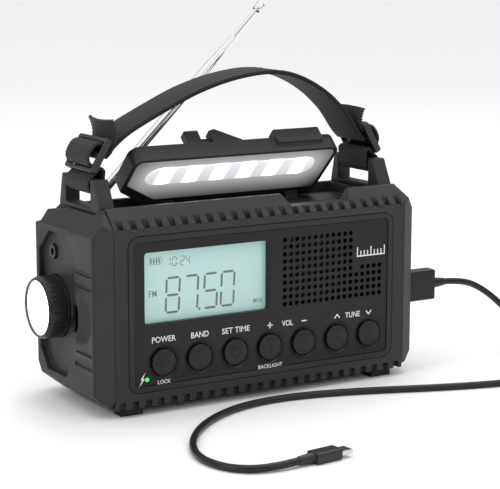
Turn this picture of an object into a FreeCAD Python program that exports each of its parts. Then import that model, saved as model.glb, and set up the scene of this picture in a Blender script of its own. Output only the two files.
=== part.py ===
import FreeCAD, Part

import math
import os
from types import SimpleNamespace

import Sketcher

# An emergency radio: +Z up, front face towards -Y, drawn about the middle of the body with the ground at 0.
# Lengths are in millimetres and angles in degrees.

DRIVING_SIZES = {
    # body shell
    "face_half": 83.7,
    "side_half": 92.8,
    "half_depth": 37.0,
    "corner_depth": 5.6,
    "corner_low": 6.9,
    "corner_high": 12.8,
    "bottom_level": 4.3,
    "face_top": 91.3,
    "rim_top": 100.2,
    "rim_thick": 2.1,
    "well_floor": 91.0,
    "well_half": 75.0,
    "well_back": 19.5,
    "deck_level": 96.5,
    "ledge_level": 88.0,
    "ledge_front": 27.0,
    "split_level": -6.0,
    "wall": 2.2,
    "front_wall": 3.4,
    "gap": 0.15,
    # rows of notches along the front
    "notch_pitch": 6.95,
    "notch_width": 3.2,
    "notch_low": 90.7,
    "notch_high": 95.7,
    "notch_depth": 3.6,
    "slot_height": 3.4,
    # finger notch in the rim
    "finger_left": 16.5,
    "finger_right": 54.5,
    "finger_floor": 94.5,
    # front panel
    "panel_half": 76.4,
    "panel_low": 11.5,
    "panel_high": 87.2,
    "panel_radius": 5.5,
    "frame_band": 2.9,
    "panel_seat": 2.2,
    "panel_thick": 1.6,
    # display window
    "window_left": -67.7,
    "window_right": 1.4,
    "window_low": 44.3,
    "window_high": 79.1,
    "window_radius": 1.6,
    # push buttons
    "button_pitch": 20.0,
    "button_first": -57.7,
    "button_level": 25.2,
    "button_radius": 6.6,
    "button_travel": 1.2,
    "dish_radius": 8.4,
    # loudspeaker grille
    "hole_pitch": 3.61,
    "hole_radius": 1.15,
    "hole_left": 10.9,
    "hole_top": 78.4,
    # lid with the solar panel and the reading lamp
    "hinge_back": 13.3,
    "hinge_level": 95.5,
    "lid_open": 45.0,
    "lid_left": -61.3,
    "lid_right": 57.3,
    "lid_length": 38.8,
    "lid_under": 4.0,
    "lid_over": 5.0,
    "lid_cut_x": 20.3,
    "lid_cut_y": 14.0,
    "lid_radius": 5.5,
    "barrel_radius": 3.8,
    "pin_radius": 1.2,
    "knuckle_first": -34.0,
    "knuckle_pitch": 74.0,
    "knuckle_width": 8.0,
    "lamp_left": -50.9,
    "lamp_right": 46.4,
    "lamp_centre": -25.2,
    "lamp_half": 6.4,
    "led_first": -40.8,
    "led_pitch": 15.56,
    # aerial
    "aerial_left": -63.0,
    "aerial_back": 31.0,
    "aerial_level": 91.6,
    "aerial_tilt": 44.5,
    "tube_reach": 101.0,
    "tube_radius": 2.5,
    "tube_wall": 0.35,
    "turret_radius": 4.4,
    # strap lugs and strap
    "lug_left": 76.5,
    "lug_width": 8.0,
    "lug_base_back": 26.0,
    "lug_top_front": -17.5,
    "lug_top_back": 17.5,
    "lug_top": 112.5,
    "lug_bar": 3.6,
    "lug_bar_height": 5.5,
    "strap_width": 25.0,
    "strap_thick": 2.2,
    "web_thick": 1.5,
    # torch in the left end
    "torch_back": 14.0,
    "torch_level": 47.0,
    "torch_radius": 15.5,
    "torch_front": 100.0,
    # crank and dynamo
    "crank_right": 28.0,
    "crank_level": 49.0,
    "dish_reach": 42.0,
    "dish_depth": 6.5,
    "arm_reach": 30.8,
    "gear_module": 0.6,
    "gear_teeth": 48,
    "pinion_teeth": 12,
    # battery
    "cell_radius": 9.2,
    "cell_length": 65.0,
    "cell_pitch": 19.0,
    # charging lead
    "plug_back": -16.0,
    "plug_level": 42.0,
    "plug_height": 16.4,
    "plug_thick": 8.0,
    "plug_length": 25.0,
    "cord_radius": 1.75,
}

doc = FreeCAD.newDocument("emergency_radio")
sheet = doc.addObject("Spreadsheet::Sheet", "Sizes")


class Size:
    """A number of the sheet, or a sum worked out from some, with the expression that gives it."""

    def __init__(self, value, text):
        self.value = value
        self.text = text

    def __add__(self, other):
        other = as_size(other)
        return Size(self.value + other.value, f"({self.text} + {other.text})")

    def __sub__(self, other):
        other = as_size(other)
        return Size(self.value - other.value, f"({self.text} - {other.text})")

    def __mul__(self, other):
        other = as_size(other)
        return Size(self.value * other.value, f"({self.text} * {other.text})")

    def __truediv__(self, other):
        other = as_size(other)
        return Size(self.value / other.value, f"({self.text} / {other.text})")

    def __radd__(self, other):
        return as_size(other) + self

    def __rsub__(self, other):
        return as_size(other) - self

    def __rmul__(self, other):
        return as_size(other) * self

    def __neg__(self):
        return Size(-self.value, f"(0 - {self.text})")


def as_size(value):
    """A plain number as a Size, or a Size as it is."""
    if isinstance(value, Size):
        return value
    return Size(float(value), f"{float(value):.6f}")


def fill_sheet():
    """Writes the driving sizes into the sheet and gives them back by name."""
    named = {}
    for row, (alias, value) in enumerate(DRIVING_SIZES.items(), start=1):
        sheet.set(f"A{row}", alias)
        sheet.set(f"B{row}", str(value))
        sheet.setAlias(f"B{row}", alias)
        named[alias] = Size(float(value), f"Sizes.{alias}")
    doc.recompute()
    return SimpleNamespace(**named)


d = fill_sheet()
FRONT = -d.half_depth
SEAT = FRONT + d.panel_seat
RIM_FRONT = FRONT + d.rim_top - d.face_top
RIM_BACK = RIM_FRONT + d.rim_thick
CAVITY_FRONT = FRONT + d.front_wall
CAVITY_LOW = d.bottom_level + d.wall
CAVITY_HIGH = d.well_floor - d.wall
X_AXIS = FreeCAD.Vector(1, 0, 0)
Y_AXIS = FreeCAD.Vector(0, 1, 0)
Z_AXIS = FreeCAD.Vector(0, 0, 1)
# Brings the middle of the whole, the torch and the crank's knob included, over the files' origin.
TO_ORIGIN = FreeCAD.Vector(4.0, -1.8, 0)
TURNS = {
    "x": FreeCAD.Rotation(Y_AXIS, 90),
    "y": FreeCAD.Rotation(X_AXIS, -90),
    "z": FreeCAD.Rotation(),
}


def bind(thing, path, size):
    """Ties a property of a document object to the sheet."""
    thing.setExpression(path, as_size(size).text)


def move(thing, x=0, y=0, z=0):
    """Ties the place of a document object to the sheet."""
    for axis, size in (("x", x), ("y", y), ("z", z)):
        bind(thing, f"Placement.Base.{axis}", size)
    return thing


def block(name, x, y, z):
    """A box from the low to the high value along each axis."""
    box = doc.addObject("Part::Box", name)
    bind(box, "Length", x[1] - x[0])
    bind(box, "Width", y[1] - y[0])
    bind(box, "Height", z[1] - z[0])
    return move(box, x[0], y[0], z[0])


def spot(axis, along, across):
    """The x, y and z of a point given by its place along an axis and across it."""
    first, second = across
    return {"x": (along, first, second), "y": (first, along, second), "z": (first, second, along)}[axis]


def rod(name, axis, span, centre, radius):
    """A cylinder along an axis, from span[0] to span[1]."""
    cylinder = doc.addObject("Part::Cylinder", name)
    bind(cylinder, "Radius", radius)
    bind(cylinder, "Height", span[1] - span[0])
    cylinder.Placement.Rotation = TURNS[axis]
    return move(cylinder, *spot(axis, span[0], centre))


def taper(name, axis, span, centre, radii):
    """A cone along an axis, with its radius at each end."""
    cone = doc.addObject("Part::Cone", name)
    bind(cone, "Radius1", radii[0])
    bind(cone, "Radius2", radii[1])
    bind(cone, "Height", span[1] - span[0])
    cone.Placement.Rotation = TURNS[axis]
    return move(cone, *spot(axis, span[0], centre))


def join(name, *things):
    """One solid made of several that touch."""
    fuse = doc.addObject("Part::MultiFuse", name)
    fuse.Shapes = list(things)
    fuse.Refine = True
    return fuse


def group(name, things):
    """Several separate solids that share a node."""
    together = doc.addObject("Part::Compound", name)
    together.Links = list(things)
    return together


def cut(name, base, *tools):
    """A base with one or more tools taken away."""
    whole = doc.addObject("Part::Cut", name)
    whole.Base = base
    whole.Tool = tools[0] if len(tools) == 1 else join(name + "_tools", *tools)
    whole.Refine = True
    return whole


def overlap(name, *things):
    """What several solids have in common."""
    common = doc.addObject("Part::MultiCommon", name)
    common.Shapes = list(things)
    return common


def new_sketch(name, axis, low, high):
    """A PartDesign body with a sketch whose plane faces along an axis."""
    body = doc.addObject("PartDesign::Body", name)
    sketch = body.newObject("Sketcher::SketchObject", name + "_sketch")
    role = {"x": "YZ_Plane", "y": "XZ_Plane", "z": "XY_Plane"}[axis]
    plane = [feature for feature in body.Origin.OriginFeatures if feature.Role == role][0]
    sketch.AttachmentSupport = [(plane, "")]
    sketch.MapMode = "FlatFace"
    bind(sketch, "AttachmentOffset.Base.z", -as_size(high) if axis == "y" else low)
    return body, sketch


def pin_point(sketch, line, end, point):
    """Fixes one end of a sketch line at a point that the sheet gives."""
    for kind, size in zip(("DistanceX", "DistanceY"), point):
        size = as_size(size)
        index = sketch.addConstraint(Sketcher.Constraint(kind, -1, 1, line, end, size.value))
        sketch.setExpression(f"Constraints[{index}]", size.text)


def corner_points(points):
    """Splits each rounded, square corner of an outline into its two tangent points."""
    stretches = []
    for index, point in enumerate(points):
        here = [as_size(value) for value in point[:2]]
        if len(point) == 2:
            stretches.append((here, here, None))
            continue
        radius = as_size(point[2])
        ends = []
        for beside in (points[index - 1], points[(index + 1) % len(points)]):
            along = [as_size(b).value - h.value for b, h in zip(beside[:2], here)]
            signs = [0 if abs(step) < 1e-6 else math.copysign(1, step) for step in along]
            ends.append([h + sign * radius if sign else h for h, sign in zip(here, signs)])
        stretches.append((ends[0], ends[1], radius))
    return stretches


def draw_outline(sketch, points):
    """A closed outline of straight lines; a point's third value rounds its square corner."""
    stretches = corner_points(points)
    lines = []
    for index, (_, leave, _) in enumerate(stretches):
        arrive = stretches[(index + 1) % len(stretches)][0]
        ends = [FreeCAD.Vector(p[0].value, p[1].value, 0) for p in (leave, arrive)]
        line = sketch.addGeometry(Part.LineSegment(*ends), False)
        lines.append(line)
        pin_point(sketch, line, 1, leave)
    for index, (arrive, leave, radius) in enumerate(stretches):
        before = lines[index - 1]
        if radius is None:
            sketch.addConstraint(Sketcher.Constraint("Coincident", before, 2, lines[index], 1))
            continue
        pin_point(sketch, before, 2, arrive)
        start = FreeCAD.Vector(arrive[0].value, arrive[1].value, 0)
        end = FreeCAD.Vector(leave[0].value, leave[1].value, 0)
        corner = FreeCAD.Vector(as_size(points[index][0]).value, as_size(points[index][1]).value, 0)
        centre = start + end - corner
        middle = centre + (corner - centre).normalize() * radius.value
        curve = Part.Arc(start, middle, end).toShape().Curve
        angles = [math.atan2((p - centre).y, (p - centre).x) for p in (start, end)]
        if (start - centre).cross(end - centre).z < 0:
            angles.reverse()
        arc = sketch.addGeometry(Part.ArcOfCircle(Part.Circle(centre, Z_AXIS, curve.Radius), *angles), False)
        first, last = (1, 2) if (start - centre).cross(end - centre).z > 0 else (2, 1)
        sketch.addConstraint(Sketcher.Constraint("Coincident", arc, first, before, 2))
        sketch.addConstraint(Sketcher.Constraint("Coincident", arc, last, lines[index], 1))
        number = sketch.addConstraint(Sketcher.Constraint("Radius", arc, radius.value))
        sketch.setExpression(f"Constraints[{number}]", radius.text)


def prism(name, axis, points, span):
    """A PartDesign pad of a closed outline, from span[0] to span[1] along an axis."""
    low, high = (as_size(value) for value in span)
    body, sketch = new_sketch(name, axis, low, high)
    draw_outline(sketch, points)
    pad = body.newObject("PartDesign::Pad", name + "_pad")
    pad.Profile = sketch
    bind(pad, "Length", high - low)
    return body


def plate(name, axis, first, second, radius, span):
    """A slab with four rounded corners, across the two other axes in their order."""
    corners = [(0, 0), (1, 0), (1, 1), (0, 1)]
    points = [(first[i], second[j], radius) for i, j in corners]
    return prism(name, axis, points, span)


def turned(name, axis, centre, profile):
    """A PartDesign revolution about an axis; the profile is (along the axis, distance from it)."""
    body = doc.addObject("PartDesign::Body", name)
    sketch = body.newObject("Sketcher::SketchObject", name + "_sketch")
    plane = [feature for feature in body.Origin.OriginFeatures if feature.Role == "XY_Plane"][0]
    sketch.AttachmentSupport = [(plane, "")]
    sketch.MapMode = "FlatFace"
    draw_outline(sketch, profile)
    spin = body.newObject("PartDesign::Revolution", name + "_revolution")
    spin.Profile = sketch
    spin.ReferenceAxis = (sketch, ["H_Axis"])
    spin.Angle = 360
    turns = {"x": FreeCAD.Rotation(), "y": FreeCAD.Rotation(Z_AXIS, 90), "z": FreeCAD.Rotation(Y_AXIS, -90)}
    body.Placement.Rotation = turns[axis]
    return move(body, *spot(axis, 0, centre))


def arc_between(before, corner, after, share=0.45):
    """The tangent arc that rounds a corner of a route, as large as its two runs allow."""
    back, ahead = before - corner, after - corner
    turn = math.pi - back.getAngle(ahead)
    reach = share * min(back.Length, ahead.Length)
    radius = reach / math.tan(turn / 2)
    back.normalize()
    ahead.normalize()
    start = corner + back * reach
    end = corner + ahead * reach
    inward = (back + ahead).normalize()
    centre = corner + inward * math.hypot(radius, reach)
    middle = centre - inward * radius
    return start, middle, end, radius


def route_wire(name, points, thickness):
    """Straight runs joined by tangent arcs, with the radii printed in thicknesses."""
    spots = [FreeCAD.Vector(*point) for point in points]
    edges = []
    radii = []
    here = spots[0]
    for before, corner, after in zip(spots, spots[1:], spots[2:]):
        start, middle, end, radius = arc_between(before, corner, after)
        edges.append(Part.LineSegment(here, start).toShape())
        edges.append(Part.Arc(start, middle, end).toShape())
        radii.append(radius / thickness)
        here = end
    edges.append(Part.LineSegment(here, spots[-1]).toShape())
    print(name, "radii in thicknesses:", " ".join(f"{radius:.1f}" for radius in radii))
    return Part.Wire(edges)


def swept(name, wire, section):
    """A solid made by carrying a closed section along a wire, with its volume checked."""
    solid = wire.makePipeShell([section], True, True)
    expected = Part.Face(section).Area * wire.Length
    print(name, f"volume {solid.Volume:.1f}, section times length {expected:.1f}, length {wire.Length:.1f}")
    feature = doc.addObject("Part::Feature", name)
    feature.Shape = solid
    feature.Placement = FreeCAD.Placement()
    return feature


def round_section(wire, radius):
    """A circle square to the start of a wire."""
    first = wire.Edges[0]
    start = first.valueAt(first.FirstParameter)
    return Part.Wire(Part.makeCircle(radius, start, first.tangentAt(first.FirstParameter)))


def band_section(wire, width, thickness):
    """A rectangle square to the start of a wire, with its width along Y."""
    first = wire.Edges[0]
    start = first.valueAt(first.FirstParameter)
    along = first.tangentAt(first.FirstParameter)
    across = along.cross(Y_AXIS).normalize() * (thickness / 2)
    side = Y_AXIS * (width / 2)
    corners = [start - side - across, start + side - across, start + side + across, start - side + across]
    return Part.makePolygon(corners + [corners[0]])


def gear_outline(teeth, module, phase):
    """The closed outline of a spur gear with straight-sided teeth, as a wire in the XZ plane."""
    pitch_radius = teeth * module / 2
    step = 2 * math.pi / teeth
    shares = [(-0.30, -1.2), (-0.21, 0.0), (-0.10, 0.9), (0.10, 0.9), (0.21, 0.0), (0.30, -1.2)]
    points = []
    for tooth in range(teeth):
        for share, rise in shares:
            angle = phase + (tooth + share) * step
            radius = pitch_radius + rise * module
            points.append(FreeCAD.Vector(radius * math.cos(angle), 0, radius * math.sin(angle)))
    return Part.makePolygon(points + [points[0]])


def gear(name, teeth, phase, span, centre):
    """A spur gear along Y, from span[0] to span[1]."""
    low, high = (as_size(value).value for value in span)
    face = Part.Face(gear_outline(int(teeth.value), d.gear_module.value, phase))
    feature = doc.addObject("Part::Feature", name)
    feature.Shape = face.extrude(FreeCAD.Vector(0, high - low, 0))
    return move(feature, centre[0], low, centre[1])


# ---------------------------------------------------------------- body shell

def notch_positions():
    """Middles of the notches that run along the front edges."""
    count = 24
    return [d.notch_pitch * (index - (count - 1) / 2) for index in range(count)]


def notch_row(name, y, z):
    """A row of equal square notches, as one tool."""
    half = d.notch_width / 2
    notches = [
        block(f"{name}_{index}", (middle - half, middle + half), y, z)
        for index, middle in enumerate(notch_positions())
    ]
    return group(name, notches)


def front_housing():
    """Front half of the body: face wall, toothed top and bottom edges, rim and half the lid well."""
    split = d.split_level
    section = [
        (FRONT, d.bottom_level),
        (split, d.bottom_level),
        (split, CAVITY_LOW),
        (CAVITY_FRONT, CAVITY_LOW),
        (CAVITY_FRONT, CAVITY_HIGH),
        (split, CAVITY_HIGH),
        (split, d.well_floor),
        (RIM_BACK, d.well_floor),
        (RIM_BACK, d.rim_top),
        (RIM_FRONT, d.rim_top),
        (FRONT, d.face_top),
    ]
    shell = prism("front_shell", "x", section, (-d.face_half, d.face_half))
    shoulders = [
        block(f"front_shoulder_{side}", span, (RIM_BACK, split), (d.well_floor, d.deck_level))
        for side, span in (("left", (-d.face_half, -d.well_half)), ("right", (d.well_half, d.face_half)))
    ]
    seat = plate(
        "panel_recess", "y", (-d.panel_half - d.gap, d.panel_half + d.gap),
        (d.panel_low - d.gap, d.panel_high + d.gap), d.panel_radius + d.gap, (FRONT - 1, SEAT),
    )
    inset = d.frame_band + 1.4
    opening = plate(
        "panel_opening", "y", (-d.panel_half + inset, d.panel_half - inset),
        (d.panel_low + inset, d.panel_high - inset), 3, (SEAT - 1, CAVITY_FRONT + 1),
    )
    finger = prism(
        "finger_notch", "y",
        [
            (d.finger_left - 3, d.rim_top + 1), (d.finger_left, d.finger_floor),
            (d.finger_right - 4, d.finger_floor), (d.finger_right, d.rim_top + 1),
        ],
        (FRONT, RIM_BACK + 0.5),
    )
    top_notches = notch_row("top_notches", (FRONT - 1, FRONT + d.notch_depth), (d.notch_low, d.notch_high))
    low_notches = notch_row(
        "low_notches", (FRONT - 1, FRONT + 3), (d.bottom_level - 1, d.bottom_level + d.slot_height)
    )
    whole = join("front_body", shell, *shoulders)
    for index, tool in enumerate((seat, opening, finger, top_notches, low_notches)):
        whole = cut(f"front_cut_{index}", whole, tool)
    whole.Label = "front_housing"
    return whole


def rear_housing():
    """Rear half of the body: back wall with the crank's dish, aerial ledge, deck and hinge knuckles."""
    back = d.half_depth
    inner_back = back - d.wall
    section = [
        (d.split_level, d.bottom_level),
        (d.split_level, CAVITY_LOW),
        (inner_back - 6, CAVITY_LOW),
        (inner_back, CAVITY_LOW + 6),
        (inner_back, d.ledge_level - d.wall),
        (d.well_back - d.wall, d.ledge_level - d.wall),
        (d.well_back - d.wall, CAVITY_HIGH),
        (d.split_level, CAVITY_HIGH),
        (d.split_level, d.well_floor),
        (d.well_back, d.well_floor),
        (d.well_back, d.deck_level),
        (d.well_back + 2.5, d.deck_level),
        (d.ledge_front, d.deck_level - 2.8),
        (d.ledge_front, d.ledge_level),
        (back, d.ledge_level),
        (back, d.bottom_level + 7),
        (back - 7, d.bottom_level),
    ]
    shell = prism("rear_shell", "x", section, (-d.face_half, d.face_half))
    shoulders = [
        block(f"rear_shoulder_{side}", span, (d.split_level, d.well_back + 2.5), (d.well_floor, d.deck_level))
        for side, span in (("left", (-d.face_half, -d.well_half)), ("right", (d.well_half, d.face_half)))
    ]
    knuckles = []
    bore_ends = []
    for index in range(2):
        left = d.knuckle_first + d.knuckle_pitch * index
        span = (left, left + d.knuckle_width)
        centre = (d.hinge_back, d.hinge_level)
        knuckles.append(rod(f"knuckle_{index}", "x", span, centre, d.barrel_radius))
        foot = (d.hinge_back - d.barrel_radius, d.hinge_back + d.barrel_radius)
        knuckles.append(block(f"knuckle_foot_{index}", span, foot, (d.well_floor - 0.5, d.hinge_level)))
        bore_ends.append(rod(f"knuckle_bore_{index}", "x", (left - 1, left + d.knuckle_width + 1), centre,
                             d.pin_radius + 0.05))
    crank = (d.crank_right, d.crank_level)
    dish_floor = d.half_depth - d.dish_depth
    tray = rod("dish_tray", "y", (dish_floor - d.wall, d.half_depth), crank, d.dish_reach + d.wall)
    tray_room = block("tray_room", (d.crank_right - 50, d.face_half - 0.5), (0, d.half_depth - 0.5),
                      (CAVITY_LOW, d.ledge_level - d.wall))
    dish_wall = overlap("dish_wall", tray, tray_room)
    dish = rod("dish", "y", (dish_floor, d.half_depth + 1), crank, d.dish_reach)
    dish_room = block("dish_room", (d.crank_right - 50, d.face_half - 2), (0, d.half_depth + 2),
                      (CAVITY_LOW + 2, d.ledge_level - d.wall))
    dish_hollow = overlap("dish_hollow", dish, dish_room)
    shaft_hole = rod("shaft_hole", "y", (0, d.half_depth), crank, 3.05)
    turret = (d.aerial_left, d.aerial_back)
    turret_hole = rod("turret_hole", "z", (d.ledge_level - 5, d.ledge_level + 1), turret, 3.25)
    turret_room = rod("turret_room", "z", (d.ledge_level, d.deck_level + 1), turret, 5.1)
    whole = join("rear_body", shell, dish_wall, *shoulders, *knuckles)
    for index, tool in enumerate((dish_hollow, shaft_hole, turret_hole, turret_room, *bore_ends)):
        whole = cut(f"rear_cut_{index}", whole, tool)
    whole.Label = "rear_housing"
    return whole


def end_blank(side, sign):
    """The solid end of the body: a side outline, with its upright, upper and lower outer edges bevelled."""
    outer, inner = d.side_half * sign, d.face_half * sign
    low, high = (outer, inner) if sign < 0 else (inner, outer)
    outline = [
        (FRONT, d.bottom_level + 5), (FRONT + 4, d.bottom_level), (d.half_depth - 17, d.bottom_level),
        (d.half_depth - 10, d.bottom_level + 6), (d.half_depth - 1, d.bottom_level + 18),
        (d.half_depth - 1, d.ledge_level - 1), (d.ledge_front - 0.5, d.ledge_level - 1),
        (d.ledge_front - 0.5, d.deck_level - 3), (6, d.deck_level), (RIM_BACK + 5, d.deck_level),
        (RIM_BACK + 2, d.rim_top - 0.7), (RIM_FRONT + 0.3, d.rim_top - 0.7), (FRONT, d.face_top - 0.6),
    ]
    profile = prism(f"{side}_profile", "x", outline, (low, high))
    edge = d.half_depth - d.corner_depth
    plan = [(inner, FRONT), (outer, -edge), (outer, edge), (inner, d.half_depth)]
    bevels = prism(f"{side}_plan", "z", plan, (0, d.rim_top + 5))
    brow = d.rim_top - d.corner_high
    slope = [
        (inner, d.bottom_level), (inner + sign, d.bottom_level), (outer, d.bottom_level + d.corner_low),
        (outer, brow), (inner, d.rim_top),
    ]
    slopes = prism(f"{side}_slopes", "y", slope, (FRONT - 1, d.half_depth + 1))
    return overlap(f"{side}_blank", profile, bevels, slopes)


def left_end_cap():
    """Left end: grooved bar at the front, recessed middle, torch seat, jack and switch holes."""
    outer = -d.side_half
    floor = outer + 3
    recess_outline = [
        (-12, 28), (-12, 75), (-3, 84.5), (16, 84.5), (28, 74), (28, 24), (20, 14.5), (-1, 14.5),
    ]
    recess = prism("left_recess", "x", recess_outline, (outer - 1, floor))
    grooves = [
        block(f"groove_{index}", (outer - 1, outer + 0.9), (-30, -12), (level, level + 1.6))
        for index, level in enumerate((23.5, 30, 62, 68.5))
    ]
    scoop = doc.addObject("Part::Sphere", "thumb_scoop")
    bind(scoop, "Radius", as_size(30))
    move(scoop, outer - 27.6, -18.5, 46)
    back_room = prism("left_back_room", "x", [(-30, 10), (-30, 86), (26, 84), (26, 24), (18, 10)],
                      (outer + 5.2, -d.face_half + 1))
    centre = (d.torch_back, d.torch_level)
    seat = rod("torch_seat", "x", (outer - 1, -d.face_half + 1), centre, d.torch_radius + 0.1)
    jack_hole = rod("jack_hole", "x", (outer - 1, -d.face_half + 1), (16, 74), 3.6)
    switch_hole = block("switch_hole", (outer - 1, -d.face_half + 1), (-9.5, -3.5), (38, 51))
    whole = end_blank("left", -1)
    for index, tool in enumerate((recess, back_room, seat, jack_hole, switch_hole, scoop, *grooves)):
        whole = cut(f"left_cut_{index}", whole, tool)
    whole.Label = "left_end_cap"
    return whole


def right_end_cap():
    """Right end: grooved bars, a shallow recess, the charging socket's window and the aerial notch."""
    outer = d.side_half
    recess = prism(
        "right_recess", "x",
        [(-2, 28), (-2, 75), (6, 84), (16, 84), (27, 74), (27, 24), (20, 14.5), (6, 14.5)],
        (outer - 3, outer + 1),
    )
    grooves = [
        block(f"right_groove_{index}", (outer - 0.9, outer + 1), (-30, -3), (level, level + 1.6))
        for index, level in enumerate((19, 25.5, 62, 68.5))
    ]
    back_room = prism("right_back_room", "x", [(-30, 10), (-30, 86), (24, 84), (24, 24), (18, 10)],
                      (d.face_half - 1, outer - 5.2))
    window = block("socket_window", (d.face_half - 1, outer + 1),
                   (d.plug_back - 3.6, d.plug_back + 3.6), (d.plug_level - 7.5, d.plug_level + 7.5))
    whole = end_blank("right", 1)
    for index, tool in enumerate((recess, back_room, window, *grooves)):
        whole = cut(f"right_cut_{index}", whole, tool)
    whole.Label = "right_end_cap"
    return whole


def strap_lug(side, sign):
    """A loop in the shape of a trapezium that the webbing goes through."""
    inner, outer = d.lug_left * sign, (d.lug_left + d.lug_width) * sign
    low, high = (outer, inner) if sign < 0 else (inner, outer)
    base = d.deck_level
    bar = d.lug_bar
    tall = d.lug_bar_height
    outline = [
        (RIM_BACK + 2.1, d.rim_top - 0.7), (RIM_BACK + 5.1, base), (d.lug_base_back - 5, base),
        (d.lug_top_back, d.lug_top), (d.lug_top_front, d.lug_top),
    ]
    window = [
        (d.lug_top_front + 4, base + 2.4), (d.lug_top_back - 4, base + 2.4),
        (d.lug_top_back - 4, d.lug_top - tall), (d.lug_top_front + 4, d.lug_top - tall),
    ]
    shape = prism(f"{side}_lug_body", "x", outline, (low, high))
    hole = prism(f"{side}_lug_window", "x", window, (low - 1, high + 1))
    middle = (low + high) / 2
    wings = []
    for name, span in (("outer", (low - 1, middle - bar / 2)), ("inner", (middle + bar / 2, high + 1))):
        wings.append(block(f"{side}_lug_{name}", span, (d.lug_top_front + 4, d.lug_top_back - 4),
                           (d.lug_top - tall - 0.1, d.lug_top + 1)))
    whole = cut(f"{side}_lug_cut", shape, hole)
    for index, tool in enumerate(wings):
        whole = cut(f"{side}_lug_cut_{index}", whole, tool)
    whole.Label = f"{side}_strap_lug"
    return whole


def feet():
    """Four rubber feet under the corners."""
    pads = []
    for number, (x, y) in enumerate(((-73, -29), (73, -29), (-68, 20), (68, 20))):
        pads.append(block(f"foot_{number}", (as_size(x - 6), as_size(x + 6)),
                          (as_size(y - 4), as_size(y + 4)), (as_size(0), d.bottom_level - 0.02)))
    together = group("feet_group", pads)
    together.Label = "rubber_feet"
    return together


def housing_screws():
    """Six pan-head screws in the back cover."""
    back = d.half_depth
    screws = []
    places = [(-76, 16), (-30, 14), (76, 14), (-76, 78), (-30, 80), (77, 80)]
    for number, centre in enumerate(places):
        edge = rod(f"screw_edge_{number}", "y", (back + 0.02, back + 0.9), centre, as_size(2.8))
        crown = taper(f"screw_crown_{number}", "y", (back + 0.9, back + 1.5), centre, (2.8, 1.8))
        screws.append(join(f"screw_{number}", edge, crown))
    together = group("screw_group", screws)
    together.Label = "housing_screws"
    return together


# ---------------------------------------------------------------- front panel and buttons

BUTTON_NAMES = ["power", "band", "set_time", "volume_up", "volume_down", "tune_up", "tune_down"]


def button_middle(index):
    """Middle of a button along X."""
    return d.button_first + d.button_pitch * index


def grille_holes():
    """Middles of the loudspeaker's holes: a square field, with a low extension to the right."""
    places = []
    for column in range(17):
        first_row = 0 if column < 12 else (6 if column == 12 else 5)
        for row in range(first_row, 10):
            places.append((d.hole_left + d.hole_pitch * column, d.hole_top - d.hole_pitch * row))
    return places


def panel_frame():
    """Flat ring round the front panel."""
    low, high = d.panel_low, d.panel_high
    ring = plate("frame_outer", "y", (-d.panel_half, d.panel_half), (low, high), d.panel_radius,
                 (FRONT, SEAT - 0.02))
    band = d.frame_band
    room = plate("frame_inner", "y", (-d.panel_half + band, d.panel_half - band), (low + band, high - band),
                 2.5, (FRONT - 1, SEAT + 1))
    whole = cut("frame_cut", ring, room)
    whole.Label = "panel_frame"
    return whole


def front_panel():
    """Front plate with button holes in shallow dishes, the display window and the grille."""
    band = d.frame_band + d.gap
    face = SEAT - d.panel_thick
    slab = plate(
        "panel_slab", "y", (-d.panel_half + band, d.panel_half - band),
        (d.panel_low + band, d.panel_high - band), 2.35, (face, SEAT - 0.02),
    )
    dishes = []
    holes = []
    for index in range(len(BUTTON_NAMES)):
        centre = (button_middle(index), d.button_level)
        dishes.append(taper(f"button_dish_{index}", "y", (face - 0.5, face + 1.0), centre,
                            (d.dish_radius + 0.35, d.dish_radius - 0.7)))
        holes.append(rod(f"button_hole_{index}", "y", (face, SEAT + 1), centre, d.button_radius + d.gap))
    grille = [
        rod(f"grille_hole_{index}", "y", (face - 1, SEAT + 1), centre, d.hole_radius)
        for index, centre in enumerate(grille_holes())
    ]
    window = plate("panel_window", "y", (d.window_left, d.window_right), (d.window_low, d.window_high),
                   d.window_radius, (face - 1, face + 4))
    bezel = plate("panel_bezel", "y", (d.window_left - 2.1, d.window_right + 2.1),
                  (d.window_low - 2.1, d.window_high + 2.1), 2.9, (face + 0.1, face + 3))
    lamp_hole = rod("status_hole", "y", (face - 1, SEAT + 1), (-66.7, 17.6), as_size(1.1))
    whole = cut("panel_cut_0", join("panel_with_bezel", slab, bezel), group("dish_group", dishes))
    drilled = [group("hole_group", holes), group("grille_group", grille)]
    for index, tool in enumerate((*drilled, window, lamp_hole)):
        whole = cut(f"panel_cut_{index + 1}", whole, tool)
    whole.Label = "front_panel"
    return whole


def display_parts():
    """Display window and display module."""
    face = SEAT - d.panel_thick
    lens = block("display_window", (d.window_left - 2, d.window_right + 2), (face + 3.05, face + 3.85),
                 (d.window_low - 2, d.window_high + 2))
    module = block("display_module", (d.window_left - 2.5, d.window_right + 2.5), (face + 3.9, face + 7.2),
                   (d.window_low - 3, d.window_high + 2.5))
    return [lens, module]


def push_button(index, name):
    """A button: a cap with a slight crown, a flange behind the panel and a plunger."""
    centre = (button_middle(index), d.button_level)
    face = SEAT - d.panel_thick
    radius = d.button_radius
    cap = rod(f"{name}_cap", "y", (face - 0.6, SEAT + 0.3), centre, radius)
    crown = taper(f"{name}_crown", "y", (face - 1.1, face - 0.6), centre, (radius - 0.7, radius))
    flange = rod(f"{name}_flange", "y", (SEAT + 0.2, SEAT + 1.0), centre, radius + 0.7)
    plunger = rod(f"{name}_plunger", "y", (SEAT + 0.9, SEAT + 2.6), centre, as_size(2.4))
    whole = join(f"{name}_parts", cap, crown, flange, plunger)
    whole.Label = f"button_{name}"
    return whole


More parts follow.
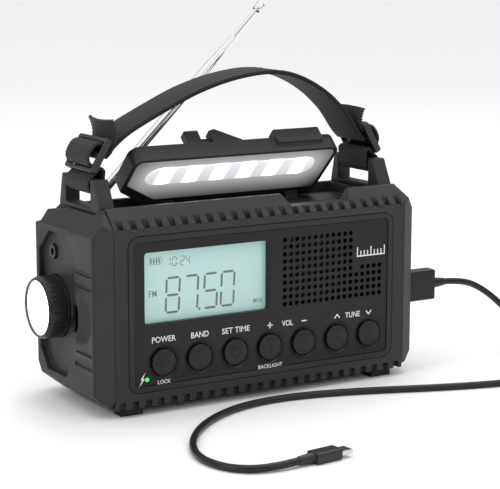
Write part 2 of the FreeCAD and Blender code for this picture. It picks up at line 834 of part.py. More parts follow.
def boards():
    """Key board with its switches, main board and the loudspeaker."""
    key_front = SEAT + 2.6 + d.button_travel + 0.3
    slab = block("key_slab", (-70, 72), (key_front + 0.8, key_front + 2.2), (16.5, 34))
    pads = [
        rod(f"key_switch_{index}", "y", (key_front, key_front + 0.9), (button_middle(index), d.button_level),
            as_size(2.2))
        for index in range(len(BUTTON_NAMES))
    ]
    keys = join("key_parts", slab, *pads)
    keys.Label = "key_board"
    main = block("main_board", (-72, 8), (as_size(-21), as_size(-19.4)), (as_size(12), as_size(84)))
    cone = taper("speaker_basket", "y", (SEAT + 5.5, SEAT + 13), (31, 62), (17.5, 9))
    rim = rod("speaker_rim", "y", (SEAT + 2.2, SEAT + 5.6), (31, 62), as_size(18))
    magnet = rod("speaker_magnet", "y", (SEAT + 12.9, SEAT + 18), (31, 62), as_size(10))
    speaker = join("speaker_parts", rim, cone, magnet)
    speaker.Label = "loudspeaker"
    led = rod("status_led_lens", "y", (SEAT - d.panel_thick - 0.2, SEAT - 0.02), (-66.7, 17.6), as_size(1.0))
    led.Label = "status_led"
    return [keys, main, speaker, led]


# ---------------------------------------------------------------- battery and aerial rod inside

def power_store():
    """Three cells side by side in an open cradle, and the ferrite rod aerial."""
    middle_back = as_size(10)
    left = as_size(-73)
    cells = []
    for index in range(3):
        centre = (middle_back, 20 + d.cell_pitch * index)
        cells.append(rod(f"cell_{index}", "x", (left, left + d.cell_length), centre, d.cell_radius))
    pack = group("cell_group", cells)
    pack.Label = "battery_cells"
    cradle_box = block("cradle_box", (left - 2, left + d.cell_length + 2), (-0.5, middle_back - 2),
                       (12, 66.5))
    room = block("cradle_room", (left - 0.3, left + d.cell_length + 0.3), (0.6, middle_back), (9, 70))
    cradle = cut("cradle_cut", cradle_box, room)
    cradle.Label = "battery_cradle"
    ferrite = rod("ferrite", "x", (-20, 62), (-1, 83), as_size(4))
    ferrite.Label = "ferrite_rod"
    return [pack, cradle, ferrite]


# ---------------------------------------------------------------- left and right end fittings

def torch_parts():
    """Torch: body cup, bezel ring, reflector, emitter and lens, all round one axis along X."""
    centre = (d.torch_back, d.torch_level)
    front = -d.torch_front
    radius = d.torch_radius
    body = turned("torch_shell", "x", centre, [
        (front + 9, radius), (front + 9, radius - 1.6), (front + 21, radius - 1.6), (front + 21, 0.5),
        (front + 23, 0.5), (front + 23, radius),
    ])
    body.Label = "torch_body"
    bezel = turned("bezel_ring", "x", centre, [
        (front - 0.8, radius - 2), (front + 8.9, radius - 2), (front + 8.9, radius), (front + 1.5, radius),
        (front - 0.8, radius - 1.0),
    ])
    bezel.Label = "torch_bezel"
    reflector = turned("reflector_cup", "x", centre, [
        (front + 1.6, radius - 2.2), (front + 1.6, radius - 3.0), (front + 15, 2.6), (front + 16.2, 2.6),
        (front + 16.2, 4.0), (front + 3.2, radius - 2.2),
    ])
    reflector.Label = "torch_reflector"
    emitter = rod("torch_emitter", "x", (front + 14.4, front + 17.5), centre, as_size(2.3))
    emitter.Label = "torch_led"
    lens = rod("torch_glass", "x", (front - 0.1, front + 1.4), centre, radius - 2.15)
    lens.Label = "torch_lens"
    return [body, bezel, reflector, emitter, lens]


def left_fittings():
    """Earphone socket and the sliding torch switch."""
    floor = -d.side_half + 3
    socket = turned("jack_shell", "x", (16, 74), [
        (floor - 1.2, 1.8), (floor + 9, 1.8), (floor + 9, 3.4), (floor - 1.2, 3.4),
    ])
    socket.Label = "earphone_socket"
    stem = block("switch_stem", (floor - 0.6, floor + 2.5), (-8.5, -4.5), (40.2, 43.6))
    grip = block("switch_grip", (floor - 1.6, floor - 0.4), (-9, -4), (39.2, 44.6))
    slider = join("switch_parts", stem, grip)
    slider.Label = "torch_switch"
    return [socket, slider]


def charging_socket():
    """The socket in the right end that the lead's plug goes into."""
    outer = d.side_half
    back, level = d.plug_back, d.plug_level
    shell = block("socket_shell", (outer - 14, outer - 0.4), (back - 3.5, back + 3.5),
                  (level - 7.4, level + 7.4))
    room = block("socket_room", (outer - 12.5, outer), (back - 2.6, back + 2.6), (level - 6.4, level + 6.4))
    whole = cut("socket_cut", shell, room)
    whole.Label = "charging_socket"
    return whole


# ---------------------------------------------------------------- lid

def on_hinge(thing, label):
    """Names a piece of the lid and turns it about the hinge to where the lid stands open."""
    thing.Label = label
    thing.Placement.Rotation = FreeCAD.Rotation(-X_AXIS, 45)
    bind(thing, "Placement.Rotation.Angle", d.lid_open)
    bind(thing, "Placement.Base.y", d.hinge_back)
    bind(thing, "Placement.Base.z", d.hinge_level)
    return thing


def lid_outline(inset, radius):
    """The lid seen from above, measured from the hinge line, with one back corner cut off."""
    return [
        (d.lid_left + inset, -d.lid_length + inset, radius),
        (d.lid_right - inset, -d.lid_length + inset, radius),
        (d.lid_right - inset, -6 * bool(inset)),
        (d.lid_left + d.lid_cut_x + 0.5 * inset, -6 * bool(inset)),
        (d.lid_left + inset, -d.lid_cut_y - 0.4 * inset - 4 * bool(inset)),
    ]


def lid_frame():
    """Hollow frame of the lid with its hinge barrel, finger tab and catch blocks."""
    under, over = -d.lid_under, d.lid_over
    slab = prism("lid_slab", "z", lid_outline(0, d.lid_radius), (under, over))
    barrel = rod("lid_barrel", "x", (d.lid_left + d.lid_cut_x, d.lid_right), (0, 0), d.barrel_radius)
    edge = -d.lid_length
    tab = block("finger_tab", (d.finger_left + 3.5, d.finger_right - 7), (edge - 2.2, edge + 4),
                (0, over + 3.4))
    catch = block("catch_block", (-29, -21), (edge, edge + 5), (over - 1, over + 7.6))
    wedge = [(-15, over - 1), (2, over - 1), (2, over + 0.2), (-11.5, over + 8), (-15, over + 7)]
    ramp = prism("catch_ramp", "y", wedge, (edge, edge + 5))
    bridge = block("catch_bridge", (-21.5, -14.5), (edge + 2.5, edge + 5), (over - 1, over + 4))
    pocket = prism("panel_pocket", "z", lid_outline(2.6, 3), (over - 2.2, over + 1))
    room = prism("lamp_room", "z", lid_outline(2.2, 3.3), (under - 1, over - 3.4))
    bore = rod("lid_bore", "x", (d.lid_left, d.lid_right - 3), (0, 0), d.pin_radius)
    whole = join("lid_body", slab, barrel, tab, catch, ramp, bridge)
    gaps = []
    for index in range(2):
        left = d.knuckle_first + d.knuckle_pitch * index
        span = (left - 0.3, left + d.knuckle_width + 0.3)
        gaps.append(block(f"knuckle_gap_{index}", span, (as_size(-5.2), as_size(6)),
                          (as_size(-6), as_size(7))))
    for index, tool in enumerate((pocket, room, bore, *gaps)):
        whole = cut(f"lid_cut_{index}", whole, tool)
    return on_hinge(whole, "lid_frame")


def stadium(name, grow, span):
    """A long slot shape for the lamp's window."""
    half = d.lamp_half + grow
    return plate(name, "z", (d.lamp_left - grow, d.lamp_right + grow),
                 (d.lamp_centre - half, d.lamp_centre + half), half - 0.05, span)


def lid_parts():
    """Frame, solar panel, lamp cover, diffuser, lamp board, emitters and the hinge pin."""
    under, over = -d.lid_under, d.lid_over
    solar = prism("solar_slab", "z", lid_outline(2.75, 2.85), (over - 2.1, over - 0.4))
    cover_slab = prism("cover_slab", "z", lid_outline(2.35, 3.15), (under, under + 1.6))
    cover = cut("cover_cut", cover_slab, stadium("lamp_slot", 0.15, (under - 1, under + 3)))
    diffuser = join("diffuser_parts", stadium("diffuser_face", 0, (under - 0.3, under + 1.7)),
                    stadium("diffuser_flange", 1.2, (under + 1.65, under + 2.4)))
    board = block("lamp_board_slab", (d.lamp_left - 1, d.lamp_right + 1),
                  (d.lamp_centre - 5, d.lamp_centre + 5), (under + 4.2, under + 5.2))
    emitters = []
    for index in range(6):
        middle = d.led_first + d.led_pitch * index
        emitters.append(block(f"emitter_{index}", (middle - 1.8, middle + 1.8),
                              (d.lamp_centre - 1.8, d.lamp_centre + 1.8), (under + 3.0, under + 4.25)))
    pin = rod("pin_rod", "x", (d.lid_left + d.lid_cut_x + 0.2, d.lid_right - 3.1), (0, 0), d.pin_radius)
    return [
        lid_frame(),
        on_hinge(solar, "solar_panel"),
        on_hinge(cover, "lamp_cover"),
        on_hinge(diffuser, "lamp_diffuser"),
        on_hinge(join("lamp_board_parts", board, *emitters), "lamp_board"),
        on_hinge(group("pin_group", [pin]), "hinge_pin"),
    ]


# ---------------------------------------------------------------- telescopic aerial

def on_aerial(thing, label):
    """Names a piece of the aerial and turns it up from the ledge to where it stands."""
    thing.Label = label
    thing.Placement.Rotation = FreeCAD.Rotation(-Y_AXIS, 44)
    bind(thing, "Placement.Rotation.Angle", d.aerial_tilt)
    return move(thing, d.aerial_left, d.aerial_back, d.aerial_level)


def tube(name, start, end, outer, inner):
    """A tube along the aerial, measured from its pivot."""
    return cut(name, rod(name + "_rod", "x", (start, end), (0, 0), outer),
               rod(name + "_bore", "x", (start - 1, end + 1), (0, 0), inner))


def aerial_parts():
    """Turret with its fork, and four nested sections with a tip."""
    x, y, level = d.aerial_left, d.aerial_back, d.aerial_level
    disc = rod("turret_disc", "z", (d.ledge_level + 0.1, d.ledge_level + 1.0), (x, y), d.turret_radius)
    stem = rod("turret_stem", "z", (d.ledge_level - 4.5, d.ledge_level + 0.2), (x, y), as_size(3.0))
    cheeks = []
    for name, low in (("front", -3.9), ("back", 2.4)):
        span = (y + low, y + low + 1.5)
        cheeks.append(rod(f"turret_eye_{name}", "y", span, (x, level), as_size(2.6)))
        cheeks.append(block(f"turret_cheek_{name}", (x - 2.4, x + 2.4), span, (d.ledge_level + 0.5, level)))
    pin = rod("turret_pin", "y", (y - 3, y + 3), (x, level), as_size(1.0))
    turret = join("turret_parts", disc, stem, *cheeks, pin)
    turret.Label = "aerial_turret"
    wall = d.tube_wall
    radius = [d.tube_radius - (wall + 0.05) * step for step in range(4)]
    ends = [d.tube_reach, d.tube_reach + 8.8, d.tube_reach + 17.5, d.tube_reach + 35.9]
    lengths = [None, 92, 84, 84]
    eye = rod("root_eye", "y", (-1.9, 1.9), (0, 0), as_size(2.2))
    root = block("root_block", (as_size(0), as_size(7)), (as_size(-1.7), as_size(1.7)),
                 (as_size(-1.8), as_size(1.8)))
    hole = rod("root_hole", "y", (-3, 3), (0, 0), as_size(1.05))
    first = tube("aerial_tube_1", as_size(6), ends[0], radius[0], radius[0] - wall)
    first = cut("root_cut", join("aerial_first", first, eye, root), hole)
    sections = [on_aerial(first, "aerial_section_1")]
    for step in (1, 2):
        piece = tube(f"aerial_tube_{step + 1}", ends[step] - lengths[step], ends[step], radius[step],
                     radius[step] - wall)
        sections.append(on_aerial(piece, f"aerial_section_{step + 1}"))
    last = rod("aerial_rod", "x", (ends[3] - lengths[3], ends[3] + 1), (0, 0), radius[3])
    tip = [
        taper("tip_shoulder", "x", (ends[3], ends[3] + 0.9), (0, 0), (1.7, 2.4)),
        rod("tip_cap", "x", (ends[3] + 0.9, ends[3] + 5.2), (0, 0), as_size(2.4)),
        taper("tip_crown", "x", (ends[3] + 5.2, ends[3] + 6), (0, 0), (2.4, 1.6)),
    ]
    sections.append(on_aerial(join("aerial_last", last, *tip), "aerial_section_4"))
    return [turret, *sections]


# ---------------------------------------------------------------- crank and dynamo

def crank_parts():
    """Crank shaft, arm, folding knob with its pin, gear train, dynamo and the plate that holds them."""
    x, z = d.crank_right, d.crank_level
    floor = d.half_depth - d.dish_depth
    spacing = d.gear_module * (d.gear_teeth + d.pinion_teeth) / 2
    shaft = join(
        "shaft_parts",
        rod("shaft_main", "y", (as_size(16.6), floor + 1.2), (x, z), as_size(3.0)),
        rod("shaft_tip", "y", (as_size(14.8), as_size(16.8)), (x, z), as_size(1.5)),
    )
    shaft.Label = "crank_shaft"
    drive = cut("drive_cut", gear("drive_teeth", d.gear_teeth, 0, (22, 25), (x, z)),
                rod("drive_bore", "y", (as_size(20), as_size(27)), (x, z), as_size(3.02)))
    drive.Label = "drive_gear"
    tip_x = x - d.arm_reach
    arm_slab = plate("arm_slab", "y", (tip_x - 4.6, x + 7), (z - 6.6, z + 6.6), 4.5, (floor + 0.4, floor + 2.8))
    arm_hole = rod("arm_hole", "y", (floor - 1, floor + 1.25), (x, z), as_size(3.02))
    boss = rod("arm_boss", "y", (floor + 2.7, floor + 5.2), (x, z), as_size(6.0))
    ears = []
    for name, span in (("low", (z - 6.6, z - 4.9)), ("high", (z + 4.9, z + 6.6))):
        ears.append(block(f"arm_ear_{name}", (tip_x - 3, tip_x + 3), (floor + 2.6, floor + 9), span))
    arm = cut("arm_cut", join("arm_parts", arm_slab, boss, *ears), arm_hole)
    knob_y = floor + 6.6
    arm = join("arm_with_pin", arm, rod("knob_pin", "z", (z - 6.6, z + 6.6), (tip_x, knob_y), as_size(1.0)))
    arm.Label = "crank_arm"
    knob = join(
        "knob_parts",
        rod("knob_root", "z", (z - 4.7, z + 4.7), (tip_x, knob_y), as_size(3.2)),
        rod("knob_grip", "x", (tip_x, tip_x + 22), (knob_y + 0.4, z), as_size(3.6)),
    )
    knob = cut("knob_cut", knob, rod("knob_bore", "z", (z - 8, z + 8), (tip_x, knob_y), as_size(1.06)))
    knob.Label = "crank_knob"
    idler_z = z + spacing
    idler = join(
        "idler_parts",
        gear("idler_pinion", d.pinion_teeth, math.radians(15), (20.4, 25.4), (x, idler_z)),
        gear("idler_wheel", d.gear_teeth, 0, (17.6, 20.6), (x, idler_z)),
    )
    idler_bore = rod("idler_bore", "y", (as_size(16), as_size(27)), (x, idler_z), as_size(1.06))
    idler = cut("idler_cut", idler, idler_bore)
    idler.Label = "idler_gear"
    rotor_x = x + spacing
    rotor = join(
        "rotor_parts",
        gear("rotor_pinion", d.pinion_teeth, math.radians(15), (17, 21), (rotor_x, idler_z)),
        rod("rotor_shaft", "y", (as_size(3.2), as_size(17.2)), (rotor_x, idler_z), as_size(1.0)),
        rod("rotor_magnet", "y", (as_size(4), as_size(13)), (rotor_x, idler_z), as_size(7.5)),
    )
    rotor.Label = "dynamo_rotor"
    can = cut(
        "can_cut",
        rod("can_outer", "y", (as_size(2), as_size(14.5)), (rotor_x, idler_z), as_size(11)),
        rod("can_room", "y", (as_size(3.1), as_size(13.6)), (rotor_x, idler_z), as_size(9.5)),
    )
    can_hole = rod("can_hole", "y", (as_size(12), as_size(16)), (rotor_x, idler_z), as_size(1.06))
    can = cut("can_hole_cut", can, can_hole)
    can.Label = "dynamo_can"
    board = plate("gear_plate_slab", "y", (x - 18, x + 34), (z - 14, idler_z + 13), 4, (14.6, 16.2))
    for index, (place, size) in enumerate((((x, z), 1.55), ((rotor_x, idler_z), 1.06))):
        board = cut(f"gear_plate_cut_{index}", board,
                    rod(f"gear_plate_hole_{index}", "y", (as_size(13), as_size(18)), place, as_size(size)))
    axle = rod("idler_axle_rod", "y", (as_size(16.1), as_size(26.6)), (x, idler_z), as_size(1.0))
    plate_and_axle = join("gear_plate_parts", board, axle)
    plate_and_axle.Label = "gear_plate"
    return [shaft, drive, arm, knob, idler, rotor, can, plate_and_axle]


# ---------------------------------------------------------------- strap

def buckle(side, sign):
    """A ladder buckle: a flat frame with two slots, tilted along the strap."""
    half_length, half_width, half_thick = 9.0, 15.0, 1.8
    frame = plate(f"{side}_buckle_frame", "z", (as_size(-half_length), as_size(half_length)),
                  (as_size(-half_width), as_size(half_width)), as_size(1.5),
                  (as_size(-half_thick), as_size(half_thick)))
    slots = [
        block(f"{side}_buckle_slot_{index}", (as_size(low), as_size(low + 5.4)),
              (as_size(-half_width + 1.9), as_size(half_width - 1.9)), (as_size(-3), as_size(3)))
        for index, low in enumerate((-6.8, 1.4))
    ]
    whole = cut(f"{side}_buckle_cut", frame, *slots)
    whole.Label = f"{side}_buckle"
    whole.Placement.Rotation = FreeCAD.Rotation(Y_AXIS, -60 if sign < 0 else 60 + 180)
    return move(whole, 78.6 * sign, 0, 123.2)


def webbing(side, sign):
    """The short loop of webbing round a lug's bar, up to the buckle."""
    middle = (d.lug_left.value + d.lug_width.value / 2) * sign
    slack = 0.8
    half = d.lug_bar.value / 2 + slack + d.web_thick.value / 2
    low = d.lug_top.value - d.lug_bar_height.value - slack - d.web_thick.value / 2
    high = d.lug_top.value + 0.8
    left, right = middle - half, middle + half
    points = [(left, 0, high), (left, 0, low), (right, 0, low), (right, 0, high)]
    wire = route_wire(f"{side}_webbing", points, d.web_thick.value)
    section = band_section(wire, d.strap_width.value, d.web_thick.value)
    return swept(f"{side}_webbing", wire, section)


def strap_webbing():
    """Both webbing loops."""
    together = group("webbing_group", [webbing("left", -1), webbing("right", 1)])
    together.Label = "strap_webbing"
    return together


def carrying_strap():
    """The arched strap between the two buckles."""
    points = [
        (-73.2, 0, 132.1), (-61.0, 0, 135.0), (-41.0, 0, 144.3), (-23.0, 0, 151.9), (-3.0, 0, 157.4),
        (17.0, 0, 159.6), (33.0, 0, 157.0), (49.0, 0, 149.4), (63.0, 0, 139.2), (73.6, 0, 131.8),
    ]
    wire = route_wire("carrying_strap", points, d.strap_thick.value)
    return swept("carrying_strap", wire, band_section(wire, d.strap_width.value, d.strap_thick.value))


# ---------------------------------------------------------------- charging lead

def lead_plug():
    """The lead's plug in the right end: metal tongue, moulded grip and strain relief."""
    outer = d.side_half
    back, level = d.plug_back, d.plug_level
    grip = plate("plug_grip", "x", (back - d.plug_thick / 2, back + d.plug_thick / 2),
                 (level - d.plug_height / 2, level + d.plug_height / 2), 1.2,
                 (outer + 0.05, outer + d.plug_length))
    tongue = block("plug_tongue", (outer - 11.5, outer + 0.2), (back - 2.25, back + 2.25),
                   (level - 6, level + 6))
    relief = taper("plug_relief", "x", (outer + d.plug_length - 0.1, outer + d.plug_length + 9),
                   (back, level), (3.1, 2.0))
    plug = join("plug_parts", grip, tongue, relief)
    plug.Label = "lead_plug"
    return plug


LEAD_ROUTE = [
    (126.8, -16, 42), (139.8, -16, 41.5), (153.8, -17, 35), (166.8, -19, 24), (178.8, -23, 11),
    (192.8, -30, 1.8), (206.8, -44, 1.8), (206.8, -64, 1.8), (192.8, -79, 1.8), (170.8, -86, 1.8),
    (142.8, -87, 1.8), (112.8, -82, 1.8), (82.8, -73, 1.8), (54.8, -62, 1.8), (28.8, -53, 1.8),
    (2.8, -48, 1.8), (-21.2, -50, 1.8), (-43.2, -60, 1.8), (-61.2, -75, 1.8), (-75.2, -94, 1.8),
    (-82.2, -114, 1.8), (-78.2, -133, 1.8), (-63.7, -142.5, 2.2), (-48.7, -141, 2.7),
]


def lead_cord():
    """The cord: out of the plug, down to the ground, back in front of the radio to the far connector."""
    radius = d.cord_radius.value
    wire = route_wire("lead_cord", LEAD_ROUTE, 2 * radius)
    return swept("lead_cord", wire, round_section(wire, radius))


def lead_connector():
    """The connector at the lead's far end: relief, moulded grip and metal tip, in line with the cord."""
    before, end = LEAD_ROUTE[-2:]
    angle = math.degrees(math.atan2(end[1] - before[1], end[0] - before[0]))
    relief = taper("connector_relief", "x", (as_size(0), as_size(8)), (0, 0), (2.0, 2.5))
    grip = plate("connector_grip", "x", (as_size(-4), as_size(4)), (as_size(-2.6), as_size(2.6)),
                 as_size(1.3), (as_size(7.9), as_size(22)))
    tip = block("connector_tip", (as_size(21.8), as_size(28.5)), (as_size(-3.3), as_size(3.3)),
                (as_size(-1.1), as_size(1.1)))
    whole = join("connector_parts", relief, grip, tip)
    whole.Label = "lead_connector"
    whole.Placement.Rotation = FreeCAD.Rotation(Z_AXIS, angle)
    return move(whole, *end)


def write_parts(nodes):
    """Checks every object and every sub-part, then writes each sub-part to its own file."""
    doc.recompute()
    broken = [thing.Name for thing in doc.Objects if {"Invalid", "Error"} & set(thing.State)]
    if broken:
        raise RuntimeError("objects that failed: " + ", ".join(broken))
    for node in nodes:
        if node.Shape.isNull() or not node.Shape.isValid():
            raise RuntimeError("shape isn't valid: " + node.Label)
    os.makedirs("parts", exist_ok=True)
    for node in nodes:
        node.Shape.translated(TO_ORIGIN).exportStep(f"parts/{node.Label}.step")
    print(len(nodes), "sub-parts written")


write_parts([
    front_housing(),
    rear_housing(),
    left_end_cap(),
    right_end_cap(),
    strap_lug("left", -1),
    strap_lug("right", 1),
    feet(),
    housing_screws(),
    panel_frame(),
    front_panel(),
    *display_parts(),
    *[push_button(index, name) for index, name in enumerate(BUTTON_NAMES)],
    *boards(),
    *power_store(),
    *torch_parts(),
    *left_fittings(),
    charging_socket(),
    *lid_parts(),
    *aerial_parts(),
    *crank_parts(),
    buckle("left", -1),
    buckle("right", 1),
    strap_webbing(),
    carrying_strap(),
    lead_plug(),
    lead_cord(),
    lead_connector(),
])
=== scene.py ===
import math

import bmesh
import bpy
import numpy as np
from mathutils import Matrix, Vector


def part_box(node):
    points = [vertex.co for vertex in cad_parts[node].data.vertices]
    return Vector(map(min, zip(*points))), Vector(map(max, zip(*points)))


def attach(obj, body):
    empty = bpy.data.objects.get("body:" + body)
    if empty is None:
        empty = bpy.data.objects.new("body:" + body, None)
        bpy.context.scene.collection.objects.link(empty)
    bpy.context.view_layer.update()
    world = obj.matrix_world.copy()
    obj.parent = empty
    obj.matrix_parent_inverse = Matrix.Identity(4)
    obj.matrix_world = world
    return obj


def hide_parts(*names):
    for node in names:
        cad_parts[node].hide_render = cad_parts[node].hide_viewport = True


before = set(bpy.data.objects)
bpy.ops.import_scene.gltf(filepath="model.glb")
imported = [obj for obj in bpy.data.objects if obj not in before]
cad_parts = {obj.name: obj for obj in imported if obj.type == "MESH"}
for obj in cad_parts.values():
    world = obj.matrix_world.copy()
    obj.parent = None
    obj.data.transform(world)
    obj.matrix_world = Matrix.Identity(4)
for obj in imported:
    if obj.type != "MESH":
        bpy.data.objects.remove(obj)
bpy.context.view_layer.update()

bl_info = {
    "name": "Emergency Radio",
    "version": (1, 0, 0),
    "blender": (4, 5, 0),
    "location": "View3D > Sidebar > Radio",
    "description": "Builds the visible pieces and finishes of an emergency radio round its packed frame",
    "category": "Add Mesh",
}

RADIO = "radio"
BUTTONS = ["power", "band", "set_time", "volume_up", "volume_down", "tune_up", "tune_down"]

# Lengths below are in millimetres about the body's own middle, until `made` writes them into a mesh.
SHIFT = np.array([4.0, -1.8, 0.0])
PANEL_FRONT = -36.4

# The row of buttons: the first one's place across, the step to the next, and their height.
BUTTON_FIRST, BUTTON_PITCH, BUTTON_HEIGHT = -57.7, 20, 25.2

# How close two corners are, in metres, to be made one.
WELD = 2e-6
NODE_WELD = 5e-6

# Cosine of the lid's slope at rest, 45 degrees.
LID_SLOPE = 0.7071

# The lead's way from the plug down to the ground and round in front of the body.
LEAD_ROUTE = [
    (126.8, -16, 42), (139.8, -16, 41.5), (153.8, -17, 35), (166.8, -19, 24), (178.8, -23, 11),
    (192.8, -30, 1.8), (206.8, -44, 1.8), (206.8, -64, 1.8), (192.8, -79, 1.8), (170.8, -86, 1.8),
    (142.8, -87, 1.8), (112.8, -82, 1.8), (82.8, -73, 1.8), (54.8, -62, 1.8), (28.8, -53, 1.8),
    (2.8, -48, 1.8), (-21.2, -50, 1.8), (-43.2, -60, 1.8), (-61.2, -75, 1.8), (-75.2, -94, 1.8),
    (-82.2, -114, 1.8), (-78.2, -133, 1.8), (-63.7, -142.5, 2.2), (-48.7, -141, 2.7),
]

# How a flat shape's own across, up and outward directions lie in the frame.
FACINGS = {
    "front": np.array([[1, 0, 0], [0, 0, 1], [0, -1, 0]], float),
    "left": np.array([[0, -1, 0], [0, 0, 1], [-1, 0, 0]], float),
}


# ---------------------------------------------------------------- shapes

def placed(points, origin, facing):
    """Points given across, up and outward, laid in the frame: origin plus each share of the facing's
    directions."""
    return points @ FACINGS[facing] + np.asarray(origin, float)


def patch(points, ring=True, loop=False, start_cap=True, end_cap=True):
    """A grid of points as quads. Columns close on themselves when ring is set, and rows when loop is set.
    The first and last rows are closed with one face each, unless the rows loop or a cap is turned off."""
    rows, columns = points.shape[:2]
    index = np.arange(rows * columns).reshape(rows, columns)
    wide = np.concatenate([index, index[:, :1]], axis=1) if ring else index
    tall = np.concatenate([wide, wide[:1]], axis=0) if loop else wide
    quads = np.stack([tall[:-1, :-1], tall[:-1, 1:], tall[1:, 1:], tall[1:, :-1]], axis=-1).reshape(-1, 4)
    faces = quads.tolist()
    if ring and not loop:
        faces += [index[0][::-1].tolist()] * start_cap + [index[-1].tolist()] * end_cap
    return points.reshape(-1, 3), faces


def outline(width, height, radius, corner_steps=8):
    """Rounded rectangle: four quarter circles of the radius, about centres that far in from the corners."""
    quarter = np.linspace(0, np.pi / 2, corner_steps)
    angles = (quarter[None, :] + np.arange(4)[:, None] * np.pi / 2).ravel()
    right = np.repeat([1, -1, -1, 1], corner_steps) * (width / 2 - radius)
    high = np.repeat([1, 1, -1, -1], corner_steps) * (height / 2 - radius)
    return np.stack([right + radius * np.cos(angles), high + radius * np.sin(angles)], axis=1)


def moulded(width, height, radius, profile, corner_steps=8):
    """A rounded rectangle drawn once for each step of the profile: shrunk by its inset and lifted by its
    rise."""
    rows = [
        np.column_stack([
            outline(width - 2 * inset, height - 2 * inset, max(radius - inset, 0.05), corner_steps),
            np.full(4 * corner_steps, float(rise)),
        ])
        for inset, rise in profile
    ]
    return np.stack(rows)


def soft_edge(low, high, radius, steps=4):
    """Profile of a slab from low to high whose upper edge is a quarter circle."""
    angles = np.linspace(0, np.pi / 2, steps)
    arc = np.stack([radius * (1 - np.cos(angles)), high - radius * (1 - np.sin(angles))], axis=1)
    return [(0, low)] + arc.tolist()


def lathe(profile, segments=48):
    """A profile of (along, radius) turned about its axis: radius times cosine and sine, with along
    outward."""
    profile = np.asarray(profile, float)
    angles = np.linspace(0, 2 * np.pi, segments, endpoint=False)
    along, radius = profile[:, 0][:, None], profile[:, 1][:, None]
    return np.stack([radius * np.cos(angles), radius * np.sin(angles), along + 0 * angles], axis=-1)


def path_frames(path, across):
    """Unit tangents of a path, with the across direction made square to each, and the third direction."""
    tangent = np.gradient(path, axis=0)
    tangent /= np.linalg.norm(tangent, axis=1, keepdims=True)
    side = across - (tangent @ across)[:, None] * tangent
    side /= np.linalg.norm(side, axis=1, keepdims=True)
    return tangent, side, np.cross(side, tangent)


def carried(section, path, across=(0, 1, 0), scale=None):
    """A closed section of (across, over) carried along a path: each point is the path's own plus its two
    shares."""
    _, side, over = path_frames(path, np.asarray(across, float))
    sections = np.repeat(section[None, :, :], len(path), axis=0)
    if scale is not None:
        sections = sections * scale
    return path[:, None, :] + sections[:, :, :1] * side[:, None, :] + sections[:, :, 1:] * over[:, None, :]


def closed_carried(section, path, across=(0, 1, 0)):
    """The same for a path that closes on itself: tangents come from its neighbours round the loop."""
    across = np.asarray(across, float)
    tangent = np.roll(path, -1, axis=0) - np.roll(path, 1, axis=0)
    tangent /= np.linalg.norm(tangent, axis=1, keepdims=True)
    over = np.cross(across[None, :], tangent)
    return path[:, None, :] + section[None, :, :1] * across + section[None, :, 1:] * over[:, None, :]


def smooth_line(points, count):
    """A cubic through the points: between two of them, the Hermite blend of their places and half chords."""
    points = np.asarray(points, float)
    slopes = np.gradient(points, axis=0)
    place = np.linspace(0, len(points) - 1, count)
    index = np.minimum(place.astype(int), len(points) - 2)
    t = (place - index)[:, None]
    a, b, m, n = points[index], points[index + 1], slopes[index], slopes[index + 1]
    from_first = (2 * t**3 - 3 * t**2 + 1) * a + (t**3 - 2 * t**2 + t) * m
    return from_first + (3 * t**2 - 2 * t**3) * b + (t**3 - t**2) * n


def stroke(points, width, low, high):
    """A flat line of one width along a few points: its two edges are the points plus and minus half the width
    along the mitred normal, and it stands from low to high."""
    points = np.asarray(points, float)
    runs = np.diff(points, axis=0)
    runs /= np.linalg.norm(runs, axis=1, keepdims=True)
    normals = np.stack([-runs[:, 1], runs[:, 0]], axis=1)
    mitred = np.vstack([normals[:1], normals[:-1] + normals[1:], normals[-1:]])
    mitred /= np.linalg.norm(mitred, axis=1, keepdims=True)
    inner = np.vstack([normals[:1], normals[1:], normals[-1:]])
    reach = width / 2 / np.clip((mitred * inner).sum(axis=1, keepdims=True), 0.4, 1)
    edge = np.vstack([points + mitred * reach, (points - mitred * reach)[::-1]])
    return prism(edge, low, high)


def prism(edge, low, high):
    """A flat closed edge raised from low to high."""
    rows = [np.column_stack([edge, np.full(len(edge), float(level))]) for level in (low, high)]
    return np.stack(rows)


def arc(radius, start, end, steps=16, centre=(0, 0)):
    """Points of a circle between two angles in degrees, counted from the right, anticlockwise."""
    angles = np.radians(np.linspace(start, end, steps))
    return np.stack([centre[0] + radius * np.cos(angles), centre[1] + radius * np.sin(angles)], axis=1)


def made(name, patches, finish, body=RADIO, replaced=(), sharp=35.0, along=None):
    """One mesh object of several patches of points and faces, in metres, smooth up to the sharp angle. The
    distance along a band is kept on its points, for a weave that follows it."""
    points, faces, first = [], [], 0
    for grid, quads in patches:
        points.append(grid.reshape(-1, 3))
        faces += [[corner + first for corner in face] for face in quads]
        first += len(points[-1])
    mesh = bpy.data.meshes.new(name)
    mesh.from_pydata((np.vstack(points) + SHIFT) / 1000, [], faces)
    if along is not None:
        mesh.attributes.new("along", "FLOAT", "POINT").data.foreach_set("value", along)
    return dressed(name, mesh, finish, body, replaced, sharp)


def dressed(name, mesh, finish, body=RADIO, replaced=(), sharp=35.0):
    """Cleans a mesh, turns its faces outwards, gives it its finish and puts it on its body."""
    work = bmesh.new()
    work.from_mesh(mesh)
    bmesh.ops.remove_doubles(work, verts=work.verts, dist=WELD)
    bmesh.ops.recalc_face_normals(work, faces=work.faces)
    work.to_mesh(mesh)
    work.free()
    mesh.polygons.foreach_set("use_smooth", [True] * len(mesh.polygons))
    mesh.set_sharp_from_angle(angle=math.radians(sharp))
    piece = bpy.data.objects.new(name, mesh)
    bpy.context.scene.collection.objects.link(piece)
    mesh.materials.append(finish)
    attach(piece, body)
    if replaced:
        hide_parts(*replaced)
    return piece


